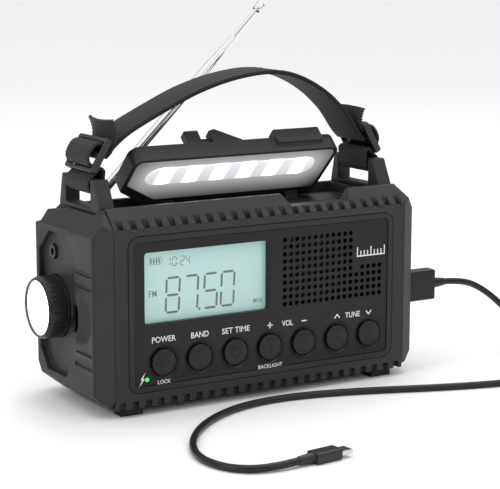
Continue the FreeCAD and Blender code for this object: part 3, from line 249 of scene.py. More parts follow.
def eased(node, width, finish, body=RADIO):
    """A node's own surface, welded and with its flat faces made whole, with its sharp edges rounded."""
    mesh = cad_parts[node].data.copy()
    mesh.materials.clear()
    work = bmesh.new()
    work.from_mesh(mesh)
    bmesh.ops.remove_doubles(work, verts=work.verts, dist=NODE_WELD)
    bmesh.ops.dissolve_limit(work, angle_limit=math.radians(1.0), verts=work.verts, edges=work.edges)
    work.to_mesh(mesh)
    work.free()
    piece = dressed(node + "_shell", mesh, finish, body, (node,), 40.0)
    bevel = piece.modifiers.new("eased edges", "BEVEL")
    bevel.width = width / 1000
    bevel.segments = 2
    bevel.limit_method = "ANGLE"
    bevel.angle_limit = math.radians(32)
    bevel.use_clamp_overlap = False
    bevel.harden_normals = True
    return piece


def lettering(text, span, level, height, low, high):
    """Raised letters that fill a span across and a height about a level, as flat points and faces."""
    curve = bpy.data.curves.new("letters", "FONT")
    curve.body = text
    curve.resolution_u = 3
    curve.offset = 0.010
    curve.extrude = (high - low) / 2
    holder = bpy.data.objects.new("letters", curve)
    bpy.context.scene.collection.objects.link(holder)
    bpy.context.view_layer.update()
    mesh = bpy.data.meshes.new_from_object(holder)
    points = np.empty(len(mesh.vertices) * 3)
    mesh.vertices.foreach_get("co", points)
    points = points.reshape(-1, 3)
    lowest, highest = points.min(axis=0), points.max(axis=0)
    target = np.array([(span[0] + span[1]) / 2, level, (low + high) / 2])
    scale = np.array([span[1] - span[0], height, high - low]) / (highest - lowest)
    points = (points - (lowest + highest) / 2) * scale + target
    faces = [list(face.vertices) for face in mesh.polygons]
    bpy.data.meshes.remove(mesh)
    bpy.data.objects.remove(holder)
    bpy.data.curves.remove(curve)
    return points, faces


def laid(flat, origin, facing):
    """A patch moved from its own flat directions into the frame."""
    points, faces = flat
    return placed(points, origin, facing), faces


# ---------------------------------------------------------------- finishes

class Amount:
    """A number that varies over a surface. Arithmetic on it adds Math nodes."""

    def __init__(self, finish, socket):
        self.finish = finish
        self.socket = socket

    def worked(self, operation, *values):
        return self.finish.node("ShaderNodeMath", {"operation": operation}, values)

    def __add__(self, other):
        return self.worked("ADD", self, other)

    def __sub__(self, other):
        return self.worked("SUBTRACT", self, other)

    def __mul__(self, other):
        return self.worked("MULTIPLY", self, other)

    def __truediv__(self, other):
        return self.worked("DIVIDE", self, other)

    def __radd__(self, other):
        return self.worked("ADD", other, self)

    def __rsub__(self, other):
        return self.worked("SUBTRACT", other, self)

    def __rmul__(self, other):
        return self.worked("MULTIPLY", other, self)

    def __rtruediv__(self, other):
        return self.worked("DIVIDE", other, self)

    def __abs__(self):
        return self.worked("ABSOLUTE", self)

    def __pow__(self, other):
        return self.worked("POWER", self, other)

    def __mod__(self, other):
        return self.worked("FLOORED_MODULO", self, other)

    def __lt__(self, other):
        return self.worked("LESS_THAN", self, other)

    def __gt__(self, other):
        return self.worked("GREATER_THAN", self, other)

    def clipped(self):
        return self.finish.node("ShaderNodeClamp", {}, [self, 0.0, 1.0])


class Finish:
    """A material whose shader takes constants by name and has what varies fed to it."""

    def __init__(self, name, **constants):
        self.material = bpy.data.materials.new(name)
        self.material.use_nodes = True
        self.tree = self.material.node_tree
        self.shader = self.tree.nodes["Principled BSDF"]
        for socket, value in constants.items():
            self.shader.inputs[socket.replace("_", " ")].default_value = value

    def node(self, kind, settings, values, output=0):
        """A node with its settings made first, its values or links put in, and one output given back."""
        node = self.tree.nodes.new(kind)
        for key, setting in settings.items():
            setattr(node, key, setting)
        named = values.items() if isinstance(values, dict) else enumerate(values)
        for key, value in named:
            if isinstance(value, Amount):
                self.tree.links.new(value.socket, node.inputs[key])
            elif value is not None:
                node.inputs[key].default_value = value
        return Amount(self, node.outputs[output])

    def place(self):
        """The spot on the piece, in metres about the body's own middle."""
        spot = self.node("ShaderNodeTexCoord", {}, [], "Object")
        return self.node("ShaderNodeMapping", {}, {"Vector": spot, "Location": tuple(-SHIFT / 1000)})

    def split(self, vector, axis):
        return self.node("ShaderNodeSeparateXYZ", {}, [vector], axis)

    def stretched(self, scale):
        """The spot after a stretch of the pattern."""
        values = {"Vector": self.place(), "Scale": scale}
        return self.node("ShaderNodeMapping", {}, values)

    def noise(self, scale, detail=2.0, vector=None):
        values = {"Vector": vector or self.place(), "Scale": scale, "Detail": detail}
        return self.node("ShaderNodeTexNoise", {}, values)

    def blend(self, factor, first, second):
        """A colour between two others."""
        factor_socket, first_colour, second_colour, mixed_colour = 0, 6, 7, 2
        values = {factor_socket: factor, first_colour: first, second_colour: second}
        return self.node("ShaderNodeMix", {"data_type": "RGBA"}, values, mixed_colour)

    def feed(self, socket, amount):
        self.tree.links.new(amount.socket, self.shader.inputs[socket])

    def relief(self, height, depth):
        """Bumps of a depth in metres."""
        values = {"Strength": 1.0, "Distance": depth, "Height": height}
        self.feed("Normal", self.node("ShaderNodeBump", {}, values))


def rgb(red, green, blue):
    return (red, green, blue, 1.0)


def grained(name, dark, light, roughness, spread=0.08, grain=2600, depth=0.00004, **constants):
    """Moulded plastic or rubber: two close colours in soft clouds, a fine grain, and roughness that follows
    both."""
    finish = Finish(name, Specular_IOR_Level=0.32, **constants)
    cloud = finish.noise(45, 3)
    fine = finish.noise(grain, 2)
    finish.feed("Base Color", finish.blend((cloud * 0.7 + fine * 0.3).clipped(), dark, light))
    finish.feed("Roughness", roughness + (cloud - 0.5) * spread + (fine - 0.5) * spread)
    finish.relief(fine, depth)
    return finish.material


def metal(name, colour, roughness, stretch=(1, 1, 1), grain=900):
    """Metal with fine lines: noise stretched along one direction turns the roughness and the surface."""
    finish = Finish(name, Metallic=1.0)
    lines = finish.noise(grain, 2, finish.stretched(stretch))
    cloud = finish.noise(60, 2)
    dim = tuple(0.82 * part for part in colour[:3]) + (1.0,)
    finish.feed("Base Color", finish.blend(cloud, dim, colour))
    finish.feed("Roughness", roughness + (lines - 0.5) * 0.12)
    finish.relief(lines, 0.00001)
    return finish.material


def screen_finish(colour):
    """Lit display: brighter to the upper left, with a fine weave of dots."""
    finish = Finish("lit display", Roughness=0.25)
    spot = finish.place()
    across, up = finish.split(spot, "X"), finish.split(spot, "Z")
    slope = ((up - 0.044) * 9.0 - (across + 0.033) * 3.5).clipped()
    pitch = 0.0006
    dots = abs((across % pitch) - pitch / 2) * abs((up % pitch) - pitch / 2) * 1.2e7
    dim = tuple(0.80 * part for part in colour[:3]) + (1.0,)
    lit = finish.blend((slope * 0.9 + dots * 0.12).clipped(), dim, colour)
    finish.feed("Base Color", lit)
    finish.feed("Emission Color", lit)
    finish.shader.inputs["Emission Strength"].default_value = 0.36
    return finish.material


def lamp_finish(strength):
    """Opal lamp window: six bright spots, each a falloff from its emitter's place along the window."""
    finish = Finish("lit opal", Roughness=0.35)
    across = finish.split(finish.place(), "X")
    first, pitch = -0.0408, 0.01556
    away = abs(((across - first + pitch / 2) % pitch) - pitch / 2)
    glow = (1.0 - away / 0.0052).clipped() ** 1.6
    cloud = finish.noise(120, 2)
    finish.feed("Base Color", finish.blend(cloud, rgb(0.80, 0.82, 0.84), rgb(0.90, 0.91, 0.92)))
    finish.feed("Emission Color", finish.blend(glow, rgb(0.10, 0.10, 0.105), rgb(1.0, 1.0, 1.0)))
    finish.shader.inputs["Emission Strength"].default_value = strength
    return finish.material


def solar_finish():
    """Solar cells: dark blue plates with a gap between them and thin pale lines across each."""
    finish = Finish("solar cells", Coat_Weight=0.6, Coat_Roughness=0.05)
    spot = finish.place()
    across = finish.split(spot, "X")
    down = finish.split(spot, "Z") * LID_SLOPE - finish.split(spot, "Y") * LID_SLOPE
    shift, cell_width, cell_depth, line_pitch = 0.0613, 0.0148, 0.0185, 0.0023
    over_cell = (across + shift) % cell_width
    gap = (over_cell < 0.0005) + ((down % cell_depth) < 0.0004)
    lines = ((down % line_pitch) < 0.00018) * 0.6 + (abs(over_cell - 0.0076) < 0.0005)
    cloud = finish.noise(160, 3)
    plate = finish.blend(cloud, rgb(0.006, 0.010, 0.030), rgb(0.016, 0.024, 0.060))
    wired = finish.blend(lines.clipped(), plate, rgb(0.22, 0.23, 0.25))
    finish.feed("Base Color", finish.blend(gap.clipped(), wired, rgb(0.03, 0.03, 0.035)))
    finish.feed("Roughness", 0.22 + cloud * 0.1)
    return finish.material


def woven_finish(name, dark, light, rib, depth):
    """Woven tape: ribs across its length with a fine twill between them, from the distance along the band,
    with painted shade in their hollows and painted sheen on their crests.
    """
    finish = Finish(name, Sheen_Weight=0.05, Specular_IOR_Level=0.25)
    run = finish.node("ShaderNodeAttribute", {"attribute_name": "along"}, [], "Fac")
    across = finish.split(finish.place(), "Y")
    ribs = abs((run % rib) / rib - 0.5) * 2
    thread = rib * 0.4
    twill = abs(((run + across * 0.6) % thread) / thread - 0.5) * 2
    fuzz = finish.noise(3200, 2)
    height = ribs * 0.6 + twill * 0.25 + fuzz * 0.3
    # The colour follows the weave's height: painted shade darkens the hollows and painted sheen lightens the
    # crests.
    finish.feed("Base Color", finish.blend((height * 0.9).clipped(), dark, light))
    finish.feed("Roughness", 0.72 + (fuzz - 0.5) * 0.2)
    finish.relief(height, depth)
    return finish.material


def board_finish():
    """Circuit board: green lacquer over tracks, which are the edges of square-ish cells."""
    finish = Finish("circuit board", Coat_Weight=0.3)
    tracks = finish.node("ShaderNodeTexVoronoi", {"feature": "DISTANCE_TO_EDGE", "distance": "EUCLIDEAN"},
                         {"Vector": finish.place(), "Scale": 260})
    mask = (tracks * 14.0).clipped()
    finish.feed("Base Color", finish.blend(mask, rgb(0.05, 0.22, 0.10), rgb(0.012, 0.085, 0.035)))
    finish.feed("Roughness", 0.35 + finish.noise(300) * 0.15)
    finish.relief(mask, 0.00003)
    return finish.material


def ground_finish(colour):
    """Pale ground with faint broad clouds."""
    finish = Finish("studio ground", Roughness=0.55)
    cloud = finish.noise(1.5, 2)
    dim = tuple(0.985 * part for part in colour[:3]) + (1.0,)
    finish.feed("Base Color", finish.blend(cloud, dim, colour))
    return finish.material


def clear_finish():
    """Clear window: thin, glossy, with faint clouds in its gloss."""
    finish = Finish("clear window", Base_Color=rgb(0.9, 0.95, 0.95), Alpha=0.10)
    finish.feed("Roughness", 0.05 + finish.noise(90) * 0.05)
    return finish.material


def glowing_finish(name, colour, edge, strength, centre, reach):
    """A lit lens: the colour at its middle fades to the edge colour by distance from a centre in y and z."""
    finish = Finish(name, Roughness=0.15)
    spot = finish.place()
    sideways, upward = finish.split(spot, "Y") - centre[0], finish.split(spot, "Z") - centre[1]
    away = (sideways ** 2 + upward ** 2) ** 0.5
    fade = (away / reach).clipped()
    finish.feed("Base Color", finish.blend(fade, colour, edge))
    finish.feed("Emission Color", finish.blend(fade, colour, edge))
    finish.shader.inputs["Emission Strength"].default_value = strength
    return finish.material


def lamp_face_finish():
    """Grey lamp face with the lamp's glare painted on it as emission: one minus the distance from the lamp's
    rounded outline, worked out across and down the sloping lid."""
    finish = Finish("lamp face")
    spot = finish.place()
    back, up = finish.split(spot, "Y") - 0.0133, finish.split(spot, "Z") - 0.0955
    down = back * LID_SLOPE - up * LID_SLOPE + 0.0252
    beyond = abs(finish.split(spot, "X") + 0.00225) - 0.0423
    beyond = (beyond + abs(beyond)) * 0.5
    away = (beyond ** 2 + down ** 2) ** 0.5 - 0.0064
    # Painted glow: full at the lamp's outline, gone 17 mm away from it.
    glow = (1.0 - away / 0.017).clipped() ** 1.4
    grain = finish.noise(2200, 2)
    finish.feed("Base Color", finish.blend(grain, rgb(0.075, 0.075, 0.078), rgb(0.10, 0.10, 0.103)))
    # Painted light: the lamp's glare on the face, given as an emission colour that fades with distance from
    # the lamp.
    finish.feed("Emission Color", finish.blend(glow, rgb(0.0, 0.0, 0.0), rgb(0.42, 0.42, 0.43)))
    finish.feed("Roughness", 0.38 + (grain - 0.5) * 0.08)
    finish.shader.inputs["Emission Strength"].default_value = 1.0
    finish.relief(grain, 0.00001)
    return finish.material


def connector_finish():
    """Black moulding with a bright metal end, which starts at one distance across."""
    finish = Finish("connector")
    metal_part = finish.split(finish.place(), "X") > -0.0266
    fine = finish.noise(2200)
    dark = finish.blend(fine, rgb(0.008, 0.008, 0.008), rgb(0.014, 0.014, 0.014))
    finish.feed("Base Color", finish.blend(metal_part, dark, rgb(0.62, 0.62, 0.64)))
    finish.feed("Metallic", metal_part)
    finish.feed("Roughness", 0.42 - metal_part * 0.18 + fine * 0.05)
    return finish.material


def make_finishes(sizes):
    """Every finish by name."""
    body = tuple(sizes.body_colour) + (1.0,)
    shade = tuple(0.62 * part for part in sizes.body_colour) + (1.0,)
    return {
        "body": grained("textured body", shade, body, 0.50, 0.10, 1900, 0.00005),
        "panel": grained("satin panel", rgb(0.0040, 0.0040, 0.0042), rgb(0.0065, 0.0065, 0.0068),
                         0.36, 0.06, 3200, 0.00001),
        "frame": grained("satin surround", rgb(0.013, 0.013, 0.0135), rgb(0.020, 0.020, 0.0205),
                         0.33, 0.06, 3000, 0.00001),
        "button": grained("button rubber", rgb(0.006, 0.006, 0.0063), rgb(0.010, 0.010, 0.0103),
                          0.30, 0.08, 2600, 0.00001),
        "icon": grained("raised icon", rgb(0.0008, 0.0008, 0.0008), rgb(0.0012, 0.0012, 0.0012), 0.45, 0.05),
        "print": grained("white print", rgb(0.72, 0.72, 0.72), rgb(0.86, 0.86, 0.86), 0.5, 0.05),
        "ink": grained("display figures", rgb(0.022, 0.035, 0.035), rgb(0.040, 0.055, 0.055), 0.35, 0.05),
        "pale ink": grained("display marks", rgb(0.05, 0.08, 0.08), rgb(0.07, 0.10, 0.10), 0.35, 0.05),
        "lid frame": grained("lid moulding", rgb(0.020, 0.020, 0.021), rgb(0.034, 0.033, 0.035),
                             0.42, 0.08, 1900, 0.00004),
        "buckle": grained("buckle moulding", rgb(0.024, 0.024, 0.025), rgb(0.040, 0.039, 0.041),
                          0.38, 0.08, 2200, 0.00003),
        "window": clear_finish(),
        "green light": glowing_finish("green light", rgb(0.02, 0.75, 0.06), rgb(0.01, 0.35, 0.03), 1.4,
                                      (-0.0367, 0.0176), 0.0016),
        "torch light": glowing_finish("torch light", rgb(1.0, 1.0, 1.0), rgb(0.55, 0.57, 0.60),
                                      sizes.torch_strength, (0.014, 0.047), 0.017),
        "connector": connector_finish(),
        "lid face": lamp_face_finish(),
        "rubber": grained("soft rubber", rgb(0.010, 0.010, 0.010), rgb(0.020, 0.020, 0.020), 0.70, 0.10, 1500,
                          0.00005),
        "lead": grained("lead jacket", rgb(0.007, 0.007, 0.007), rgb(0.012, 0.012, 0.012), 0.34, 0.08, 2200,
                        0.00001),
        "strap": woven_finish("smooth strap", rgb(0.007, 0.007, 0.0068), rgb(0.014, 0.0136, 0.013), 0.0009,
                              0.00004),
        "strap edge": grained("strap edge", rgb(0.05, 0.049, 0.047), rgb(0.085, 0.083, 0.08), 0.5, 0.1),
        "webbing": woven_finish("ribbed webbing", rgb(0.008, 0.008, 0.008), rgb(0.040, 0.039, 0.038), 0.0008,
                                0.00008),
        "chrome": metal("chrome", rgb(0.80, 0.81, 0.83), 0.10, (1, 1, 1), 500),
        "steel": metal("plated steel", rgb(0.48, 0.48, 0.50), 0.32, (1, 12, 1), 700),
        "dark steel": metal("blackened steel", rgb(0.10, 0.10, 0.105), 0.38, (1, 1, 1), 900),
        "mirror": metal("reflector", rgb(0.88, 0.89, 0.90), 0.06, (1, 1, 1), 200),
        "ferrite": grained("ferrite", rgb(0.030, 0.030, 0.033), rgb(0.055, 0.055, 0.060),
                           0.45, 0.15, 900, 0.0001),
        "cell": grained("cell wrap", rgb(0.02, 0.10, 0.25), rgb(0.03, 0.14, 0.33), 0.28, 0.05),
        "nylon": grained("gear nylon", rgb(0.62, 0.60, 0.54), rgb(0.72, 0.70, 0.64), 0.42, 0.08),
        "board": board_finish(),
        "solar": solar_finish(),
        "screen": screen_finish(tuple(sizes.screen_colour) + (1.0,)),
        "lamp": lamp_finish(sizes.lamp_strength),
    }


# ---------------------------------------------------------------- shared steps

FINISHES = {}


def finishes(context):
    """The finishes, made from the sizes the first time they are asked for."""
    if not FINISHES:
        FINISHES.update(make_finishes(context.scene.radio_sizes))
    return FINISHES


def coat(finish, *nodes):
    """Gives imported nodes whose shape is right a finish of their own."""
    for node in nodes:
        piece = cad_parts[node]
        if not piece.data.materials:
            piece.data.materials.append(finish)
        for slot in piece.material_slots:
            slot.material = finish


def softbox(name, place, aim, size, power):
    """A square area light at a place, turned to shine at another."""
    light = bpy.data.lights.new(name, "AREA")
    light.size = size
    light.energy = power
    lamp = bpy.data.objects.new(name, light)
    lamp.location = place
    direction = Vector(aim) - Vector(place)
    lamp.rotation_euler = direction.to_track_quat("-Z", "Y").to_euler()
    bpy.context.scene.collection.objects.link(lamp)


def seven_segments(figure, left, low, width, height, thick, level, slant=0.045):
    """A display figure from seven bars with chamfered ends, leaning by the slant times the height."""
    lit = {
        "0": "abcdef", "1": "bc", "2": "abged", "4": "fgbc", "5": "afgcd", "7": "abc", "8": "abcdefg",
    }[figure]
    half, gap = thick / 2, thick * 0.9
    right, high, middle = left + width, low + height, low + height / 2
    bars = {
        "a": ((left + gap, high - half), (right - gap, high - half)),
        "g": ((left + gap, middle), (right - gap, middle)),
        "d": ((left + gap, low + half), (right - gap, low + half)),
        "f": ((left + half, middle + gap), (left + half, high - gap)),
        "b": ((right - half, middle + gap), (right - half, high - gap)),
        "e": ((left + half, low + gap), (left + half, middle - gap)),
        "c": ((right - half, low + gap), (right - half, middle - gap)),
    }
    shapes = []
    for name in lit:
        start, end = (np.array(point) for point in bars[name])
        run = (end - start) / np.linalg.norm(end - start)
        side = np.array([-run[1], run[0]]) * half
        tip = run * half * 0.7
        edge = np.array([
            start, start + side + tip, end + side - tip, end, end - side - tip, start - side + tip,
        ])
        edge[:, 0] += slant * (edge[:, 1] - low)
        shapes.append(laid(patch(prism(edge, *level)), (0, 0, 0), "front"))
    return shapes


def belt(first, first_radius, second, second_radius, steps=26):
    """A closed loop round two bars: half a circle about each, joined by the straights between."""
    first, second = np.array(first, float), np.array(second, float)
    heading = math.atan2(*(second - first)[::-1])
    turns = np.linspace(-np.pi / 2, np.pi / 2, steps)
    around = [
        centre + radius * np.stack([
            np.cos(heading + offset + turns), np.sin(heading + offset + turns)], axis=1)
        for centre, radius, offset in ((second, second_radius, 0), (first, first_radius, np.pi))
    ]
    corners = np.vstack([around[0], around[1], around[0][:1]])
    runs = np.concatenate([[0], np.cumsum(np.linalg.norm(np.diff(corners, axis=0), axis=1))])
    even = np.arange(0, runs[-1], runs[-1] / round(runs[-1] / 0.3))
    flat = np.stack([np.interp(even, runs, corners[:, 0]), np.interp(even, runs, corners[:, 1])], axis=1)
    return np.stack([flat[:, 0], np.zeros(len(flat)), flat[:, 1]], axis=1)


def lengths(path, columns):
    """Distance along a path in metres, repeated for every point of its section."""
    runs = np.concatenate([[0], np.cumsum(np.linalg.norm(np.diff(path, axis=0), axis=1))])
    return np.repeat(runs / 1000, columns)


def ribbed(path, width, thick, closed=False, rib=1.5, curl=0.0):
    """Webbing along a path, whose thickness swells and falls once each rib, as one plus a cosine of the
    distance. A curl lifts the two edges of the band by the square of their distance from its middle."""
    radius, corner, flat = thick * 0.45, 4, 17
    section = outline(width, thick, radius, corner)
    across = np.linspace(-1, 1, flat) * (width / 2 - radius)
    upper = np.column_stack([across[::-1], np.full(flat, thick / 2)])[1:-1]
    section = np.vstack([section[:corner], upper, section[corner:3 * corner], -upper, section[3 * corner:]])
    lifted = np.column_stack([section[:, 0], section[:, 1] + curl * (2 * section[:, 0] / width) ** 2])
    runs = np.concatenate([[0], np.cumsum(np.linalg.norm(np.diff(path, axis=0), axis=1))])
    swell = 1 + 0.16 * np.cos(2 * np.pi * runs / rib)
    if closed:
        grid = closed_carried(lifted, path)
        middle = path[:, None, :] + lifted[None, :, :1] * np.array([0.0, 1.0, 0.0])
        grid = middle + (grid - middle) * swell[:, None, None]
        return patch(grid, loop=True), lengths(path, len(section))
    scale = np.stack([np.ones_like(swell), swell], axis=1)[:, None, :]
    return patch(carried(lifted, path, scale=scale)), lengths(path, len(section))


def buckle_point(sign, along, outward):
    """A spot beside a buckle, given along its slope of 60 degrees and outward from it: the buckle's middle
    plus each distance times its own direction."""
    run, normal = np.array([-0.5 * sign, 0.866]), np.array([0.866 * sign, 0.5])
    spot = np.array([78.6 * sign, 123.2]) + along * run + outward * normal
    return (spot[0], 0.0, spot[1])


# ---------------------------------------------------------------- operators

class RadioSizes(bpy.types.PropertyGroup):
    """Sizes and colours that a user would change."""

    body_colour: bpy.props.FloatVectorProperty(
        name="Body colour", description="Colour of the moulded housing", subtype="COLOR", size=3,
        default=(0.030, 0.0288, 0.0305), min=0, max=1)
    screen_colour: bpy.props.FloatVectorProperty(
        name="Screen colour", description="Colour of the lit display", subtype="COLOR", size=3,
        default=(0.400, 0.640, 0.610), min=0, max=1)
    floor_colour: bpy.props.FloatVectorProperty(
        name="Floor colour", description="Colour of the studio floor", subtype="COLOR", size=3,
        default=(0.95, 0.95, 0.95), min=0, max=1)
    lamp_strength: bpy.props.FloatProperty(
        name="Lamp strength", description="Brightness of the lid's lamp", default=5.0, min=0)
    torch_strength: bpy.props.FloatProperty(
        name="Torch strength", description="Brightness of the torch", default=5.0, min=0)
    edge_rounding: bpy.props.FloatProperty(
        name="Edge rounding", description="Radius of the housing's edges", default=0.0005, min=0.00005,
        unit="LENGTH")
    label_height: bpy.props.FloatProperty(
        name="Label height", description="Height of the capitals over the buttons", default=0.0029, min=0.001,
        unit="LENGTH")
    strap_width: bpy.props.FloatProperty(
        name="Strap width", description="Width of the carrying strap", default=0.025, min=0.01, unit="LENGTH")
    strap_thickness: bpy.props.FloatProperty(
        name="Strap thickness", description="Thickness of the carrying strap", default=0.0022, min=0.001,
        unit="LENGTH")


class RADIO_OT_stage(bpy.types.Operator):
    """Floor, soft lights and camera"""

    bl_idname = "radio.stage"
    bl_label = "Stage"

    def execute(self, context):
        sizes = context.scene.radio_sizes
        mesh = bpy.data.meshes.new("studio_floor")
        reach = 12.0
        corners = np.array([[-1, -1, 0], [1, -1, 0], [1, 1, 0], [-1, 1, 0]]) * reach
        mesh.from_pydata(corners, [], [(0, 1, 2, 3)])
        mesh.materials.append(ground_finish(tuple(sizes.floor_colour) + (1.0,)))
        floor = bpy.data.objects.new("studio_floor", mesh)
        context.scene.collection.objects.link(floor)
        world = bpy.data.worlds.new("studio")
        world.use_nodes = True
        nodes, links = world.node_tree.nodes, world.node_tree.links
        direction = nodes.new("ShaderNodeTexCoord")
        height = nodes.new("ShaderNodeSeparateXYZ")
        sky = nodes.new("ShaderNodeMapRange")
        level_light, overhead_light = 0.12, 1.42
        for key, value in (("From Min", 0.0), ("From Max", 1.0), ("To Min", level_light),
                           ("To Max", overhead_light)):
            sky.inputs[key].default_value = value
        links.new(direction.outputs["Generated"], height.inputs[0])
        links.new(height.outputs["Z"], sky.inputs["Value"])
        links.new(sky.outputs[0], nodes["Background"].inputs["Strength"])
        nodes["Background"].inputs["Color"].default_value = rgb(1.0, 1.0, 1.0)
        context.scene.world = world
        context.scene.view_settings.view_transform = "Standard"
        softbox("key", (0.55, 0.35, 1.25), (0, 0, 0.05), 0.8, 5)
        softbox("front", (0.35, -1.2, 0.75), (0, 0, 0.06), 0.5, 2.0)
        softbox("side", (-1.3, -0.25, 0.8), (0, 0, 0.06), 0.5, 4.5)
        camera = bpy.data.cameras.new("view")
        camera.lens = 120.61
        camera.sensor_width = 36
        holder = bpy.data.objects.new("view", camera)
        holder.location = (-0.42535, -0.72545, 0.22279)
        holder.rotation_euler = tuple(math.radians(angle) for angle in (79.8082, -0.1261, -31.4037))
        context.scene.collection.objects.link(holder)
        context.scene.camera = holder
        return {"FINISHED"}


class RADIO_OT_lead(bpy.types.Operator):
    """Charging lead from the right end, along the ground to its small connector"""

    bl_idname = "radio.lead"
    bl_label = "Charging lead"

    def execute(self, context):
        finish = finishes(context)
        route = (np.array(LEAD_ROUTE) + SHIFT) / 1000
        curve = bpy.data.curves.new("lead_cable", "CURVE")
        curve.dimensions = "3D"
        spline = curve.splines.new("NURBS")
        spline.points.add(len(route) - 1)
        spline.points.foreach_set("co", np.column_stack([route, np.ones(len(route))]).ravel())
        spline.order_u = 3
        spline.use_endpoint_u = True
        curve.bevel_depth = 0.00175
        curve.bevel_resolution = 6
        curve.use_fill_caps = True
        curve.materials.append(finish["lead"])
        cable = bpy.data.objects.new("lead_cable", curve)
        context.scene.collection.objects.link(cable)
        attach(cable, RADIO)
        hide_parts("lead_cord")
        plug = eased("lead_plug", 0.6, finish["lead"])
        connector = eased("lead_connector", 0.45, finish["connector"])
        return {"FINISHED"}


class RADIO_OT_shells(bpy.types.Operator):
    """Housing halves, end caps, strap lugs, feet and screws"""

    bl_idname = "radio.shells"
    bl_label = "Housing"

    def execute(self, context):
        finish = finishes(context)
        rounding = 1000 * context.scene.radio_sizes.edge_rounding
        for node in ("front_housing", "rear_housing", "left_end_cap", "right_end_cap"):
            eased(node, rounding, finish["body"])
        for node in ("left_strap_lug", "right_strap_lug"):
            eased(node, 0.7, finish["body"])
        eased("panel_frame", 0.35, finish["frame"])
        eased("rubber_feet", 0.4, finish["rubber"])
        coat(finish["dark steel"], "housing_screws")
        return {"FINISHED"}


class RADIO_OT_panel(bpy.types.Operator):
    """Front panel and its white print"""

    bl_idname = "radio.panel"
    bl_label = "Front panel"

    def execute(self, context):
        finish = finishes(context)
        capital = 1000 * context.scene.radio_sizes.label_height
        eased("front_panel", 0.12, finish["panel"])
        low, high = -PANEL_FRONT - 0.02, -PANEL_FRONT + 0.04
        shapes = []
        for text, left, right, level, height in (
            ("POWER", -64.0, -51.0, 36.5, capital), ("BAND", -42.6, -32.8, 36.4, capital),
            ("SET TIME", -25.3, -9.5, 36.3, capital), ("VOL", 9.4, 15.8, 36.2, capital),
            ("TUNE", 47.6, 56.7, 36.0, capital), ("LOCK", -61.0, -54.0, 15.55, 0.68 * capital),
            ("BACKLIGHT", -4.4, 9.6, 15.55, 0.68 * capital),
        ):
            letters = lettering(text, (left, right), level, height, low, high)
            shapes.append(laid(letters, (0, 0, 0), "front"))
        lines = [
            [(0.8, 36.2), (3.8, 36.2)], [(2.3, 34.7), (2.3, 37.7)], [(21.0, 36.2), (24.0, 36.2)],
            [(41.0, 35.2), (42.6, 37.0), (44.2, 35.2)], [(60.6, 37.0), (62.2, 35.2), (63.8, 37.0)],
            [(54.4, 66.0), (71.8, 66.0)],
        ]
        for index in range(9):
            across = 54.7 + 2.1 * index
            lines.append([(across, 66.3), (across, 70.6 if index % 4 == 0 else 68.8)])
        for line in lines:
            shapes.append(laid(patch(stroke(line, 0.62, low, high)), (0, 0, 0), "front"))
        bolt = np.array([(-67.6, 21.4), (-70.3, 17.9), (-69.4, 17.7), (-71.4, 14.0), (-68.0, 18.2),
                         (-69.0, 18.4)])
        shapes.append(laid(patch(prism(bolt, low, high)), (0, 0, 0), "front"))
        made("panel_print", shapes, finish["print"])
        return {"FINISHED"}


class RADIO_OT_display(bpy.types.Operator):
    """Lit display with its figures and clear window"""

    bl_idname = "radio.display"
    bl_label = "Display"

    def execute(self, context):
        finish = finishes(context)
        coat(finish["screen"], "display_module")
        level = (32.48, 32.53)  # from just over the lit face to just under the window
        right_by = 2.2
        spot = (right_by, 0, -0.9)
        shapes = []
        for figure, left in (("8", -57.2), ("7", -47.0), ("5", -36.2), ("0", -26.6)):
            shapes += seven_segments(figure, left + right_by, 47.6, 8.3, 18.0, 1.15, level)
        dot = outline(1.25, 1.25, 0.3, 4) + [-38.0, 49.1]
        shapes.append(laid(patch(prism(dot, *level)), spot, "front"))
        made("display_figures", shapes, finish["ink"])
        small = []
        for figure, left in (("1", -56.2), ("0", -52.9), ("2", -48.6), ("4", -45.4)):
            small += seven_segments(figure, left + right_by, 70.6, 2.4, 4.7, 0.45, level)
        for height in (72.7, 74.6):
            dot = outline(0.4, 0.4, 0.1, 3) + [-49.5, height]
            small.append(laid(patch(prism(dot, *level)), spot, "front"))
        for index in range(4):
            bar = outline(0.75, 2.4, 0.1, 3) + [-64.3 + 1.45 * index, 74.9]
            small.append(laid(patch(prism(bar, *level)), spot, "front"))
        case = [(-65.3, 73.2), (-58.9, 73.2), (-58.9, 74.2), (-58.3, 74.2), (-58.3, 75.6), (-58.9, 75.6),
                (-58.9, 76.6), (-65.3, 76.6), (-65.3, 73.2)]
        small.append(laid(patch(stroke(case, 0.22, *level)), spot, "front"))
        small.append(laid(lettering("FM", (-65.6, -61.4), 59.1, 3.0, *level), spot, "front"))
        small.append(laid(lettering("MHz", (-7.4, -2.0), 49.7, 2.5, *level), spot, "front"))
        made("display_marks", small, finish["pale ink"])
        glass = moulded(69.1, 34.8, 2.2, soft_edge(32.56, 33.33, 0.15), 6)
        made("display_glass", [patch(placed(glass, (-33.15, 0, 61.7), "front"))], finish["window"],
             replaced=("display_window",))
        return {"FINISHED"}


